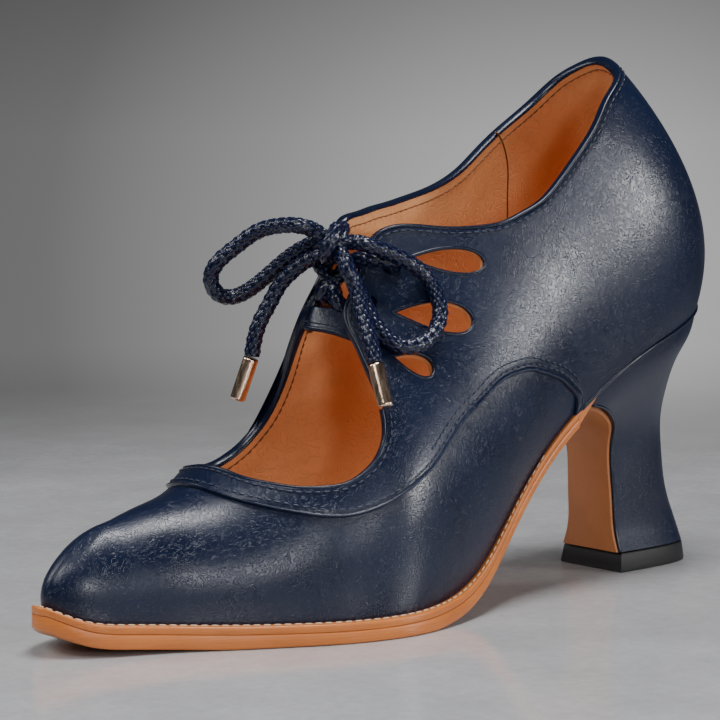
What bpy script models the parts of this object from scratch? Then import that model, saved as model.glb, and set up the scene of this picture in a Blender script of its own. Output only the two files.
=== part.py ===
"""Left court shoe with a keyhole throat, a lace bow and a waisted, covered heel.

Metres, +Z up. The toe points to -X and the outer side of the foot lies to -Y. Every form of the
upper and the sole is read from one function, the last: last_point(station, climb). A station runs
once round the shoe at the edge of the sole, from the back seam (0) along the outer side to the toe
(TOE) and home along the inner side. Climb runs from the edge of the sole (0) up to the ridge of
the last (1), and climbs above the collar are only guide lines.
"""
from collections import namedtuple

import bpy
import bmesh
import numpy as np

# Driving sizes of the last
LENGTH = 0.240          # back of the counter to the tip of the toe
BALL_WIDTH = 0.072      # across the ball, at the edge of the sole
SEAT_HEIGHT = 0.084     # edge of the seat above the floor, at the back
INSTEP_RISE = 0.079     # tab above the edge of the sole
TOE_SPRING = 0.0076     # toe above the ball
RIDGE_ROUND = 0.2       # how broadly the ridge is rounded, a share of the half section
COUNTER_LEAN = 0.067    # how far the back leans in below the collar, a share of the half section

# Sole, heel and upper
GAP = 0.0003            # clearance between pieces that touch
WALL = 0.002            # leather and lining
OVERLAY = 0.001         # quarter above the vamp
OVERLAY_SLOPE = 0.0005  # width of the step at the quarter's edge
BINDING = 0.0025        # rolled edge, diameter
WELT_THICK = 0.0022
WELT_OUT = 0.0027       # welt beyond the upper
WELT_WAIST_OUT = 0.0010
WELT_TUCK = 0.0045      # welt under the upper
SOLE_THICK = 0.0036     # outsole at the ball
SHANK_THICK = 0.0026    # outsole at the waist
SOLE_BEVEL = 0.0006
INSOLE_THICK = 0.0025
INSOLE_FIT = 0.0005     # insole to wall
TOP_PIECE_HEIGHT = 0.006
TOP_PIECE_LENGTH = 0.0355
TOP_PIECE_WIDTH = 0.0250
TOP_PIECE_RIM = 0.0004  # top piece beyond the heel
BREAST_THICK = 0.0014
BREAST_INSET = 0.0011   # heel cover seen beside the breast
STRAP_THICK = 0.0018
EYELET = 0.0048         # punched hole, diameter
LACE = 0.0040           # lace, diameter
AGLET = 0.0044
AGLET_LENGTH = 0.0125
KNOT_SIZE = (0.0104, 0.0104, 0.0124)

EDGE = WELT_THICK + SOLE_THICK    # edge of the sole above the floor, at the ball

# Edge of the sole in side view: along the LENGTH, share of the seat's lift, share of the toe spring
Profile = namedtuple("Profile", "along seat spring")
PROFILE = [Profile(*row) for row in (
    (0.000, 1.000, 0.00), (0.0625, 0.935, 0.00), (0.125, 0.871, 0.00), (0.1875, 0.794, 0.00),
    (0.250, 0.680, 0.00), (0.292, 0.586, 0.00), (0.333, 0.476, 0.00), (0.375, 0.349, 0.00),
    (0.417, 0.219, 0.00), (0.458, 0.114, 0.00), (0.500, 0.049, 0.00), (0.542, 0.018, 0.00),
    (0.604, 0.003, 0.00), (0.6875, 0.000, 0.00), (0.771, 0.000, 0.04), (0.854, 0.000, 0.15),
    (0.917, 0.000, 0.30), (0.958, 0.000, 0.50), (0.992, 0.000, 1.00))]

# Sections of the last, one to a station: the outline (along the LENGTH, shares of BALL_WIDTH), the
# ridge above it (along the LENGTH, share of INSTEP_RISE, share of BALL_WIDTH), and the fullness
Section = namedtuple("Section", "along outer inner ridge_along ridge_rise ridge_across fullness")
SECTIONS = [Section(*row) for row in (
    (0.0060, 0.000, 0.000, 0.592, 1.259, 0.000, 0.095),
    (0.0300, 0.196, 0.182, 0.590, 1.226, 0.000, 0.115),
    (0.0830, 0.304, 0.284, 0.579, 1.137, 0.000, 0.190),
    (0.1580, 0.342, 0.328, 0.572, 1.019, 0.010, 0.280),
    (0.2420, 0.331, 0.292, 0.569, 0.978, 0.020, 0.300),
    (0.3250, 0.317, 0.247, 0.576, 0.994, 0.030, 0.280),
    (0.4080, 0.350, 0.239, 0.593, 1.000, 0.040, 0.240),
    (0.4920, 0.431, 0.292, 0.619, 1.000, 0.045, 0.180),
    (0.5750, 0.504, 0.393, 0.645, 0.897, 0.045, 0.130),
    (0.6330, 0.511, 0.458, 0.670, 0.780, 0.042, 0.100),
    (0.6920, 0.462, 0.483, 0.706, 0.655, 0.040, 0.080),
    (0.7500, 0.372, 0.464, 0.750, 0.520, 0.042, 0.070),
    (0.8080, 0.268, 0.412, 0.797, 0.428, 0.050, 0.060),
    (0.8670, 0.160, 0.335, 0.842, 0.380, 0.060, 0.060),
    (0.9220, 0.085, 0.262, 0.880, 0.336, 0.070, 0.070),
    (0.9630, 0.012, 0.190, 0.908, 0.292, 0.078, 0.090),
    (0.9845, -0.083, 0.083, 0.925, 0.244, 0.083, 0.110))]
TOE = len(SECTIONS) - 1           # station of the toe
ROUND_FROM, ROUND_TO = 4.0, 5.6   # stations between which the ridge becomes round
SLOPE_FROM, SLOPE_TO = 9.5, 11.2  # stations between which sections begin to follow the ridge
LEAN_REACH, LEAN_TOP = 4.0, 0.6   # station and climb where the counter's lean ends

# Finished edge of collar and throat: the station where its column of the wall leaves the sole,
# then station and climb of the edge on the outer side and on the inner side
Rim = namedtuple("Rim", "foot outer outer_climb inner inner_climb")
RIM = [Rim(*row) for row in (
    (0.00, 0.00, 0.535, 0.00, 0.535), (0.70, 0.70, 0.543, 0.80, 0.536),
    (1.35, 1.33, 0.561, 1.60, 0.560), (2.00, 2.05, 0.599, 2.40, 0.596),
    (2.65, 2.69, 0.628, 3.07, 0.630), (3.30, 3.49, 0.630, 3.71, 0.652),
    (3.90, 4.13, 0.618, 4.30, 0.668), (4.40, 4.54, 0.611, 4.72, 0.700),
    (4.75, 4.83, 0.624, 5.00, 0.745), (5.00, 5.06, 0.645, 5.18, 0.785),
    (5.20, 5.25, 0.687, 5.31, 0.825), (5.38, 5.39, 0.735, 5.42, 0.860),
    (5.55, 5.47, 0.785, 5.49, 0.893), (5.72, 5.55, 0.836, 5.57, 0.920),
    (5.90, 5.68, 0.870, 5.70, 0.933), (6.05, 5.85, 0.885, 5.88, 0.935),
    (6.25, 6.10, 0.887, 6.13, 0.932), (6.50, 6.45, 0.884, 6.47, 0.929),
    (6.80, 6.80, 0.880, 6.82, 0.926), (7.10, 7.10, 0.872, 7.13, 0.916),
    (7.35, 7.40, 0.838, 7.40, 0.890), (7.60, 7.66, 0.777, 7.66, 0.830),
    (7.85, 7.91, 0.711, 7.88, 0.740), (8.10, 8.12, 0.637, 8.08, 0.630),
    (8.40, 8.41, 0.554, 8.37, 0.530), (8.70, 8.67, 0.509, 8.70, 0.482),
    (9.05, 9.03, 0.478, 9.05, 0.455), (9.45, 9.46, 0.465, 9.50, 0.447),
    (9.85, 9.88, 0.478, 9.95, 0.470), (10.30, 10.40, 0.541, 10.45, 0.540),
    (10.65, 10.80, 0.649, 10.82, 0.655), (10.95, 11.10, 0.796, 11.10, 0.805),
    (11.20, 11.20, 1.000, 11.20, 1.000))]

# Lower edge of the quarter over the vamp: station and climb, alike on both sides
QUARTER_EDGE = [(4.55, 0.020), (4.76, 0.070), (5.04, 0.134), (5.34, 0.210), (5.63, 0.280), (5.87, 0.337),
                (6.08, 0.369), (6.34, 0.395), (6.74, 0.401), (7.17, 0.395), (7.66, 0.363), (8.05, 0.344),
                (8.73, 0.331), (9.30, 0.331), (9.79, 0.344), (10.30, 0.385), (10.82, 0.478),
                (11.30, 0.605), (11.65, 0.738), (11.85, 0.855), (11.95, 0.985)]
QUARTER_BACK, QUARTER_FRONT = QUARTER_EDGE[0][0], QUARTER_EDGE[-1][0]
SPARE_BEHIND = [(0.0, 0.15), (3.4, 0.13), (4.3, 0.04)]         # the same row of faces where no edge is
SPARE_AHEAD = [(12.2, 0.93), (13.0, 0.80), (16.0, 0.55)]

# Teardrop cut-outs, from tip to round end, on the outer and the inner side
CutOut = namedtuple("CutOut", "side tip tip_climb end end_climb width")
CUT_OUTS = [CutOut(*row) for row in (
    ("outer", 5.95, 0.785, 5.59, 0.622, 0.0074), ("outer", 6.80, 0.748, 6.21, 0.566, 0.0095),
    ("outer", 7.43, 0.672, 7.12, 0.560, 0.0068), ("inner", 5.93, 0.800, 5.50, 0.640, 0.0074),
    ("inner", 6.60, 0.745, 6.02, 0.590, 0.0095), ("inner", 6.70, 0.600, 6.40, 0.490, 0.0068))]
CUT_OUT_POINTS = 20
CUT_DEPTH = 0.007

Eyelet = namedtuple("Eyelet", "side station climb")
EYELETS = [Eyelet(*row) for row in (
    ("outer", 6.13, 0.815), ("outer", 6.82, 0.818), ("inner", 6.13, 0.855), ("inner", 6.82, 0.850))]
EYELET_POINTS = 12

# Bridge strap under both facings: stations of its upper and lower edge, climbs of its ends
STRAP_TOP, STRAP_BOTTOM = 6.98, 7.46
STRAP_OUTER_END, STRAP_INNER_END = 0.800, 0.840
STRAP_ROWS, STRAP_COLUMNS = 4, 16

# Covered heel: heights as shares of SEAT_HEIGHT, places along as shares of LENGTH, half width of
# the breast as a share of TOP_PIECE_WIDTH, and how far the section follows the seat's outline
HeelRow = namedtuple("HeelRow", "back_height front_height back front half_width spread")
HEEL = [HeelRow(*row) for row in (
    (0.145, 0.146, 0.0095, 0.1500, 0.410, 0.00), (0.263, 0.263, 0.0275, 0.1520, 0.385, 0.00),
    (0.427, 0.400, 0.0375, 0.1555, 0.368, 0.00), (0.550, 0.489, 0.0430, 0.1600, 0.400, 0.03),
    (0.649, 0.555, 0.0470, 0.1740, 0.510, 0.14), (0.743, 0.609, 0.0480, 0.2030, 0.650, 0.36),
    (0.827, 0.643, 0.0380, 0.2330, 0.790, 0.64), (0.905, 0.656, 0.0160, 0.2600, 0.880, 0.90))]
HEEL_WING = 4.42        # station of the wing tips, where the sole begins
HEEL_POINTS = 10        # to each side of the back
HEEL_TAPER = 0.04
HEEL_SQUARE = 5.0       # higher is squarer at the back
HEEL_ROUND = 0.45
SOLE_CLEARANCE = 0.0008 # sole to wing tip

# Resolution of the wall
RIM_COLUMNS = 40
VAMP_COLUMNS = 12
ROWS_BELOW = 4
ROWS_ABOVE = 6
STEP_HALF = 0.03        # stations to each side of the ends of the quarter's edge

# The lace, in metres in the shoe's own frame, chosen by hand on the outside of the facings. Each
# route starts at the knot, and the outer side's pieces come first
KNOT = (-0.1452, -0.0045, 0.1054)
LOOP_OUTER = [(-0.1428, -0.0093, 0.1062), (-0.1407, -0.0125, 0.1053), (-0.1347, -0.0148, 0.1031),
              (-0.1280, -0.0172, 0.0996), (-0.1223, -0.0178, 0.0952), (-0.1211, -0.0205, 0.0902),
              (-0.1219, -0.0225, 0.0854), (-0.1263, -0.0240, 0.0801), (-0.1320, -0.0245, 0.0777),
              (-0.1367, -0.0230, 0.0774), (-0.1394, -0.0200, 0.0798), (-0.1409, -0.0165, 0.0836),
              (-0.1412, -0.0130, 0.0883), (-0.1415, -0.0100, 0.0929), (-0.1427, -0.0080, 0.0968)]
LOOP_INNER = [(-0.1494, -0.0005, 0.1092), (-0.1533, 0.0010, 0.1104), (-0.1556, 0.0070, 0.1103),
              (-0.1583, 0.0130, 0.1087), (-0.1618, 0.0190, 0.1041), (-0.1658, 0.0230, 0.0990),
              (-0.1661, 0.0250, 0.0949), (-0.1636, 0.0250, 0.0906), (-0.1593, 0.0240, 0.0895),
              (-0.1545, 0.0200, 0.0925), (-0.1517, 0.0140, 0.0977), (-0.1493, 0.0080, 0.1024),
              (-0.1467, 0.0020, 0.1057)]
END_OUTER = [(-0.1470, -0.0105, 0.1015), (-0.1472, -0.0125, 0.0985), (-0.1463, -0.0135, 0.0955),
             (-0.1460, -0.0155, 0.0907), (-0.1466, -0.0185, 0.0851), (-0.1474, -0.0220, 0.0794),
             (-0.1479, -0.0245, 0.0738)]
END_INNER = [(-0.1487, -0.0030, 0.1026), (-0.1503, 0.0025, 0.1002), (-0.1521, 0.0060, 0.0973),
             (-0.1540, 0.0090, 0.0936), (-0.1560, 0.0110, 0.0885), (-0.1581, 0.0125, 0.0837),
             (-0.1595, 0.0135, 0.0786), (-0.1602, 0.0140, 0.0735)]
AGLET_OUTER_TIP, AGLET_INNER_TIP = (-0.1494, -0.0315, 0.0603), (-0.1629, 0.0175, 0.0607)
CROSSING_OUTER = [(-0.1440, 0.0026, 0.0906), (-0.1411, -0.0006, 0.0955), (-0.1382, -0.0066, 0.1008)]
CROSSING_INNER = [(-0.1424, -0.0028, 0.0884), (-0.1424, -0.0001, 0.0932), (-0.1431, 0.0070, 0.1014)]
LACE_STEP = 0.009       # between the points of the tubes
CROSSING_SIDES = 10
LACE_LIFT = OVERLAY + LACE / 2 + 2 * GAP
KNOT_CLEAR = 1.22       # where a cord starts, in half sizes of the knot

COLOURS = {  # red, green, blue, roughness, metallic
    "navy leather": (0.020, 0.030, 0.075, 0.38, 0.0), "edge leather": (0.012, 0.018, 0.045, 0.35, 0.0),
    "tan insole": (0.600, 0.270, 0.100, 0.55, 0.0), "tan welt": (0.520, 0.200, 0.060, 0.45, 0.0),
    "tan sole": (0.500, 0.190, 0.060, 0.40, 0.0), "black rubber": (0.012, 0.012, 0.013, 0.60, 0.0),
    "lace cord": (0.016, 0.022, 0.060, 0.50, 0.0), "gilt metal": (0.780, 0.600, 0.430, 0.22, 1.0)}


def closed_curve(values):
    """Smooth periodic curve through values at 0, 1, 2 ..."""
    values = np.asarray(values, float)
    count = len(values)
    matrix = 4 * np.eye(count) + np.roll(np.eye(count), 1, 0) + np.roll(np.eye(count), -1, 0)
    bend = np.linalg.solve(matrix, 6 * (np.roll(values, -1) - 2 * values + np.roll(values, 1)))

    def at(x):
        x = np.asarray(x, float) % count
        low = np.floor(x).astype(int) % count
        high = (low + 1) % count
        part = x - np.floor(x)
        rest = 1 - part
        return (rest * values[low] + part * values[high]
                + ((rest ** 3 - rest) * bend[low] + (part ** 3 - part) * bend[high]) / 6)
    return at


def open_curve(xs, ys):
    """Smooth curve through points with rising xs; ys may have several columns."""
    xs = np.asarray(xs, float)
    ys = np.asarray(ys, float).reshape(len(xs), -1)
    step = np.diff(xs)
    matrix = np.eye(len(xs))
    right = np.zeros_like(ys)
    for i in range(1, len(xs) - 1):
        matrix[i, i - 1:i + 2] = step[i - 1], 2 * (step[i - 1] + step[i]), step[i]
        right[i] = 6 * ((ys[i + 1] - ys[i]) / step[i] - (ys[i] - ys[i - 1]) / step[i - 1])
    bend = np.linalg.solve(matrix, right)

    def at(x):
        x = np.clip(np.asarray(x, float), xs[0], xs[-1])
        low = np.clip(np.searchsorted(xs, x, side="right") - 1, 0, len(xs) - 2)
        wide = step[low][..., None]
        part = (x - xs[low])[..., None] / wide
        rest = 1 - part
        curl = (rest ** 3 - rest) * bend[low] + (part ** 3 - part) * bend[low + 1]
        value = rest * ys[low] + part * ys[low + 1] + curl * wide ** 2 / 6
        return value[..., 0] if ys.shape[1] == 1 else value
    return at


def smooth_step(value):
    value = np.clip(value, 0, 1)
    return value * value * (3 - 2 * value)


def around(outer, inner=None):
    """Values of the outer side, back to toe, then those of the inner side, toe to back."""
    inner = outer if inner is None else inner
    return list(outer)[:TOE] + list(inner)[:0:-1]


def edge_rise(row):
    return EDGE + (SEAT_HEIGHT - EDGE) * row.seat + TOE_SPRING * row.spring


edge_height = open_curve([row.along * LENGTH for row in PROFILE], [edge_rise(row) for row in PROFILE])
foot_along = closed_curve(around([row.along * LENGTH for row in SECTIONS]))
foot_across = closed_curve(around([-row.outer * BALL_WIDTH for row in SECTIONS],
                                  [row.inner * BALL_WIDTH for row in SECTIONS]))
ridge_along = closed_curve(around([row.ridge_along * LENGTH for row in SECTIONS]))
ridge_rise = closed_curve(around([row.ridge_rise * INSTEP_RISE for row in SECTIONS]))
ridge_across = closed_curve(around([row.ridge_across * BALL_WIDTH for row in SECTIONS]))
fullness = closed_curve(around([row.fullness for row in SECTIONS]))


def from_back(station):
    """Station counted from the back on either side."""
    return TOE - np.abs(np.asarray(station, float) % (2 * TOE) - TOE)


def ridge_slope(station):
    """Slope of the ridge that the sections over the vamp follow."""
    reach = 0.05
    place = np.clip(from_back(station), SLOPE_FROM, TOE - 0.6)
    low, high = place - reach, place + reach
    lift = edge_height(foot_along(high)) + ridge_rise(high) - edge_height(foot_along(low)) - ridge_rise(low)
    run = ridge_along(high) - ridge_along(low)
    return lift / run * smooth_step((from_back(station) - SLOPE_FROM) / (SLOPE_TO - SLOPE_FROM))


def counter_lean(station, climb):
    """Share of the half section by which the counter leans in, most a little above its middle."""
    height = np.clip(climb / LEAN_TOP, 0, 1)
    fade = 1 - smooth_step(from_back(station) / LEAN_REACH)
    return COUNTER_LEAN * fade * 28.9 * height ** 3 * (1 - height) ** 2


def last_point(station, climb):
    """Point of the last, in the frame of the model."""
    station, climb = np.broadcast_arrays(np.asarray(station, float), np.asarray(climb, float))
    turn = climb * np.pi / 2
    share = np.cos(turn) + fullness(station) * np.sin(2 * turn) - counter_lean(station, climb)
    soft = RIDGE_ROUND * smooth_step((from_back(station) - ROUND_FROM) / (ROUND_TO - ROUND_FROM))
    share_along = share * share * (1 + soft) / (share + soft + 1e-9)
    foot = foot_along(station)
    lean = (foot - ridge_along(station)) * share_along
    across = ridge_across(station) + (foot_across(station) - ridge_across(station)) * share
    up = (edge_height(foot) + ridge_rise(station) * np.sin(turn)
          + ridge_slope(station) * lean * np.sin(turn))
    return np.stack([-(ridge_along(station) + lean), across, up], -1)


def tangents(station, climb):
    reach = 1e-3
    along = (last_point(station + reach, climb) - last_point(station - reach, climb)) / (2 * reach)
    upward = (last_point(station, climb + reach) - last_point(station, climb - reach)) / (2 * reach)
    return along, upward


def last_normal(station, climb):
    along, upward = tangents(np.asarray(station, float), np.asarray(climb, float))
    normal = np.cross(upward, along)
    return normal / np.linalg.norm(normal, axis=-1, keepdims=True)


def surface(station, climb, lift):
    """Point at a height above the last, or below it where lift is negative."""
    lift = np.asarray(lift, float)
    return last_point(station, climb) + last_normal(station, climb) * lift[..., None]


def sole_edge(station, out, drop, floor=None):
    """Point of the sole's edge moved out in plan and down; floor stops it at the ground."""
    station = np.asarray(station, float)
    normal = last_normal(station, np.zeros_like(station))[..., :2]
    normal = normal / np.linalg.norm(normal, axis=-1, keepdims=True)
    out = np.broadcast_to(np.asarray(out, float), station.shape)
    plan = last_point(station, np.zeros_like(station))[..., :2] + normal * out[..., None]
    height = edge_height(-plan[..., 0]) - drop
    if floor is not None:
        height = np.maximum(height, floor)
    return np.concatenate([plan, height[..., None]], -1)


def on_side(side, station):
    """Station of a place on the outer or the inner side, counted from the back."""
    return station if side == "outer" else 2 * TOE - station


def inward(side, stations, climbs, distance):
    """A line of the last, drawn from back to front, moved away from the opening."""
    real = on_side(side, stations)
    along, upward = tangents(real, climbs)
    step_station, step_climb = np.gradient(real), np.gradient(climbs)
    run = along * step_station[:, None] + upward * step_climb[:, None]
    away = np.cross(last_normal(real, climbs), run)
    if side == "inner":
        away = -away
    away = away / np.linalg.norm(away, axis=1, keepdims=True)
    first, mixed, second = (along * along).sum(1), (along * upward).sum(1), (upward * upward).sum(1)
    a, b = (along * away).sum(1), (upward * away).sum(1)
    area = first * second - mixed * mixed
    shift_station = distance * (second * a - mixed * b) / area
    shift_climb = distance * (first * b - mixed * a) / area
    moved = real + shift_station
    return (moved if side == "outer" else 2 * TOE - moved), climbs + shift_climb


rim_curve = open_curve(range(len(RIM)), RIM)


def rim_line(places, distance):
    """Foot stations, then the edge of both openings moved in: {side: (stations, climbs)}."""
    rows = rim_curve(places)
    line = {}
    for side, column in (("outer", 1), ("inner", 3)):
        stations, climbs = inward(side, rows[:, column], rows[:, column + 1], distance)
        climbs[-1] = 1.0
        line[side] = (stations, climbs)
    front = (line["outer"][0][-1] + line["inner"][0][-1]) / 2
    for side in line:
        line[side][0][-1] = front
        line[side][0][0] = 0.0
    climb_back = (line["outer"][1][0] + line["inner"][1][0]) / 2
    line["outer"][1][0] = line["inner"][1][0] = climb_back
    return rows[:, 0], line, front


def quarter_edge(station):
    table = SPARE_BEHIND + QUARTER_EDGE + SPARE_AHEAD
    return np.interp(station, [row[0] for row in table], [row[1] for row in table])


def rim_places():
    """Places along the RIM for the columns of the wall, with a close pair where the quarter ends."""
    places = np.linspace(0, len(RIM) - 1, RIM_COLUMNS)
    feet = rim_curve(places)[:, 0]
    pair = [np.interp(QUARTER_BACK + sign * STEP_HALF, feet, places) for sign in (-1, 1)]
    clear = [p for p in places if min(abs(p - q) for q in pair) > 0.25]
    return np.array(sorted(clear + pair))


Column = namedtuple("Column", "side foot top climb rim")


def wall_columns():
    """Columns of the wall, once round: outer side back to toe, then the inner side home."""
    feet, line, front = rim_line(rim_places(), BINDING + GAP)
    feet[-1] = front
    vamp = list(np.linspace(front, TOE, VAMP_COLUMNS + 1)[1:])
    pair = [QUARTER_FRONT - STEP_HALF, QUARTER_FRONT + STEP_HALF]
    vamp = sorted([v for v in vamp if min(abs(v - q) for q in pair) > 0.12] + pair)
    sides = {}
    for side, (stations, climbs) in line.items():
        rows = [Column(side, f, t, c, True) for f, t, c in zip(feet, stations, climbs)]
        sides[side] = rows + [Column(side, v, v, 1.0, False) for v in vamp]
    return sides["outer"] + sides["inner"][-2:0:-1]


def foot_stations(columns):
    return np.array([on_side(column.side, column.foot) for column in columns])


# Mesh helpers

def material(name):
    """Plain material of one of the COLOURS."""
    red, green, blue, roughness, metallic = COLOURS[name]
    made = bpy.data.materials.get(name) or bpy.data.materials.new(name)
    made.use_nodes = True
    shader = made.node_tree.nodes["Principled BSDF"]
    shader.inputs["Base Color"].default_value = (red, green, blue, 1)
    shader.inputs["Roughness"].default_value = roughness
    shader.inputs["Metallic"].default_value = metallic
    made.diffuse_color = (red, green, blue, 1)
    return made


def add_object(name, data, look):
    made = bpy.data.objects.new(name, data)
    if look:
        data.materials.append(material(look))
    bpy.context.scene.collection.objects.link(made)
    made.parent = bpy.data.objects[FRAME]
    return made


def solid(name, points, faces, look, smooth=True):
    """Object from points and faces, welded, with its faces turned outwards."""
    mesh = bpy.data.meshes.new(name)
    mesh.from_pydata([tuple(map(float, p)) for p in points], [], faces)
    shape = bmesh.new()
    shape.from_mesh(mesh)
    bmesh.ops.remove_doubles(shape, verts=shape.verts, dist=1e-6)
    bmesh.ops.recalc_face_normals(shape, faces=shape.faces)
    if shape.calc_volume(signed=True) < 0:
        bmesh.ops.reverse_faces(shape, faces=shape.faces)
    shape.to_mesh(mesh)
    shape.free()
    if smooth:
        mesh.shade_smooth()
        mesh.set_sharp_from_angle(angle=np.radians(40))
    return add_object(name, mesh, look)


def skin(rows, closed):
    """Faces between rows of equal length; points are numbered row by row."""
    count = len(rows[0])
    last = count if closed else count - 1
    faces = []
    for r in range(len(rows) - 1):
        for i in range(last):
            j = (i + 1) % count
            faces.append((r * count + i, r * count + j, (r + 1) * count + j, (r + 1) * count + i))
    return faces


def ladder(first, count, back_point):
    """Faces that close a ring with rungs from its outer to its inner side."""
    faces = []
    if back_point:
        faces.append((first, first + 1, first + count - 1))
        low, high = 1, count - 1
    else:
        low, high = 0, count - 1
    while high - low > 2:
        faces.append((first + low, first + low + 1, first + high - 1, first + high))
        low, high = low + 1, high - 1
    if high - low == 2:
        faces.append((first + low, first + low + 1, first + high))
    else:
        faces.append((first + low, first + high))
    return [face for face in faces if len(face) > 2]


def stack(name, rings, look, back_point):
    """Solid through stacked rings, closed by ladders at both ends."""
    count = len(rings[0])
    faces = skin(rings, closed=True) + ladder(0, count, back_point)
    faces += ladder((len(rings) - 1) * count, count, back_point)
    return solid(name, np.concatenate(rings), faces, look)


def cut(target, cutter):
    cutter.hide_render = True
    cutter.display_type = "WIRE"
    modifier = target.modifiers.new(cutter.name, "BOOLEAN")
    modifier.operation = "DIFFERENCE"
    modifier.object = cutter


# Upper

def build_upper():
    columns = wall_columns()
    sheets = {"out": [], "in": []}
    for column in columns:
        share = 0.3
        for _ in range(12):
            place = column.foot + (column.top - column.foot) * share
            share = min(quarter_edge(place) / column.climb, 0.97)
        height = np.linalg.norm(last_point(on_side(column.side, column.top), column.climb)
                                - last_point(on_side(column.side, column.foot), 0.0))
        shares = np.concatenate([np.linspace(0, share, ROWS_BELOW + 1),
                                 np.linspace(share + OVERLAY_SLOPE / height, 1, ROWS_ABOVE + 1)])
        stations = on_side(column.side, column.foot + (column.top - column.foot) * shares)
        climbs = column.climb * shares
        covered = np.arange(len(shares)) > ROWS_BELOW
        if column.foot < QUARTER_BACK:
            covered[:] = True
        if column.foot > QUARTER_FRONT:
            covered[:] = False
        outside = surface(stations, climbs, np.where(covered, OVERLAY, 0.0))
        inside = surface(stations, climbs, np.full(len(shares), -WALL))
        for row in (outside, inside):
            row[0, 2] = edge_height(-row[0, 0]) + GAP
        sheets["out"].append(outside)
        sheets["in"].append(inside)
    count, rows = len(columns), ROWS_BELOW + ROWS_ABOVE + 2
    outside, inside = np.array(sheets["out"]), np.array(sheets["in"])
    points = np.concatenate([outside.reshape(-1, 3), inside.reshape(-1, 3)])
    shell = count * rows
    faces = []
    for i in range(count):
        j = (i + 1) % count
        for r in range(rows - 1):
            a, b, c, d = i * rows + r, j * rows + r, j * rows + r + 1, i * rows + r + 1
            faces.append((a, b, c, d))
            faces.append((shell + d, shell + c, shell + b, shell + a))
        faces.append((i * rows, shell + i * rows, shell + j * rows, j * rows))
        if columns[i].rim and columns[j].rim:
            a, b = i * rows + rows - 1, j * rows + rows - 1
            faces.append((a, b, shell + b, shell + a))
    upper = solid("upper", points, faces, "navy leather")
    for number, row in enumerate(CUT_OUTS):
        cut(upper, teardrop_cutter("cut_out_cutter_%d" % number, row))
    for number, row in enumerate(EYELETS):
        cut(upper, eyelet_cutter("eyelet_cutter_%d" % number, row))
    return columns


def prism(name, centre, along, across, normal, outline):
    """Cutter through the wall with an outline given in two directions."""
    rings = []
    for lift in (-CUT_DEPTH, CUT_DEPTH):
        rings.append([centre + along * x + across * y + normal * lift for x, y in outline])
    count = len(outline)
    faces = skin(rings, closed=True) + [tuple(range(count)), tuple(range(count, 2 * count))]
    return solid(name, np.concatenate(rings), faces, None, smooth=False)


def teardrop_cutter(name, row):
    tip = last_point(on_side(row.side, row.tip), row.tip_climb)
    end = last_point(on_side(row.side, row.end), row.end_climb)
    normal = last_normal(on_side(row.side, (row.tip + row.end) / 2), (row.tip_climb + row.end_climb) / 2)
    length = np.linalg.norm(end - tip)
    along = (end - tip) / length
    across = np.cross(normal, along)
    across = across / np.linalg.norm(across)
    turns = 2 * np.pi * np.arange(CUT_OUT_POINTS) / CUT_OUT_POINTS
    widest = 0.77
    outline = [(-np.cos(t) * length / 2, np.sin(t) * np.sin(t / 2) / widest * row.width / 2) for t in turns]
    return prism(name, (tip + end) / 2, along, across, np.cross(along, across), outline)


def eyelet_cutter(name, row):
    station = on_side(row.side, row.station)
    along, upward = tangents(station, row.climb)
    normal = last_normal(station, row.climb)
    along = along / np.linalg.norm(along)
    across = np.cross(normal, along)
    turns = 2 * np.pi * np.arange(EYELET_POINTS) / EYELET_POINTS
    outline = [(np.cos(t) * EYELET / 2, np.sin(t) * EYELET / 2) for t in turns]
    return prism(name, last_point(station, row.climb), along, across, normal, outline)


def build_binding():
    """Rolled edge round collar and throat, seated on the rim of the wall."""
    feet, line, front = rim_line(np.linspace(0, len(RIM) - 1, RIM_COLUMNS), BINDING / 2)
    middle = (OVERLAY - WALL) / 2
    outer = surface(line["outer"][0], line["outer"][1], np.full(RIM_COLUMNS, middle))
    inner = surface(2 * TOE - line["inner"][0], line["inner"][1], np.full(RIM_COLUMNS, middle))
    points = list(outer) + list(inner[-2:0:-1])
    return cord("topline_binding", points, BINDING, "edge leather", cyclic=True)


def cord(name, points, diameter, look, cyclic=False):
    """Round cord on a polyline."""
    data = bpy.data.curves.new(name, "CURVE")
    data.dimensions = "3D"
    data.bevel_depth = diameter / 2
    data.bevel_resolution = 2
    data.render_resolution_u = 0
    data.use_fill_caps = True
    line = data.splines.new("POLY")
    line.points.add(len(points) - 1)
    for point, place in zip(line.points, points):
        point.co = (float(place[0]), float(place[1]), float(place[2]), 1)
    line.use_cyclic_u = cyclic
    return add_object(name, data, look)


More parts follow.
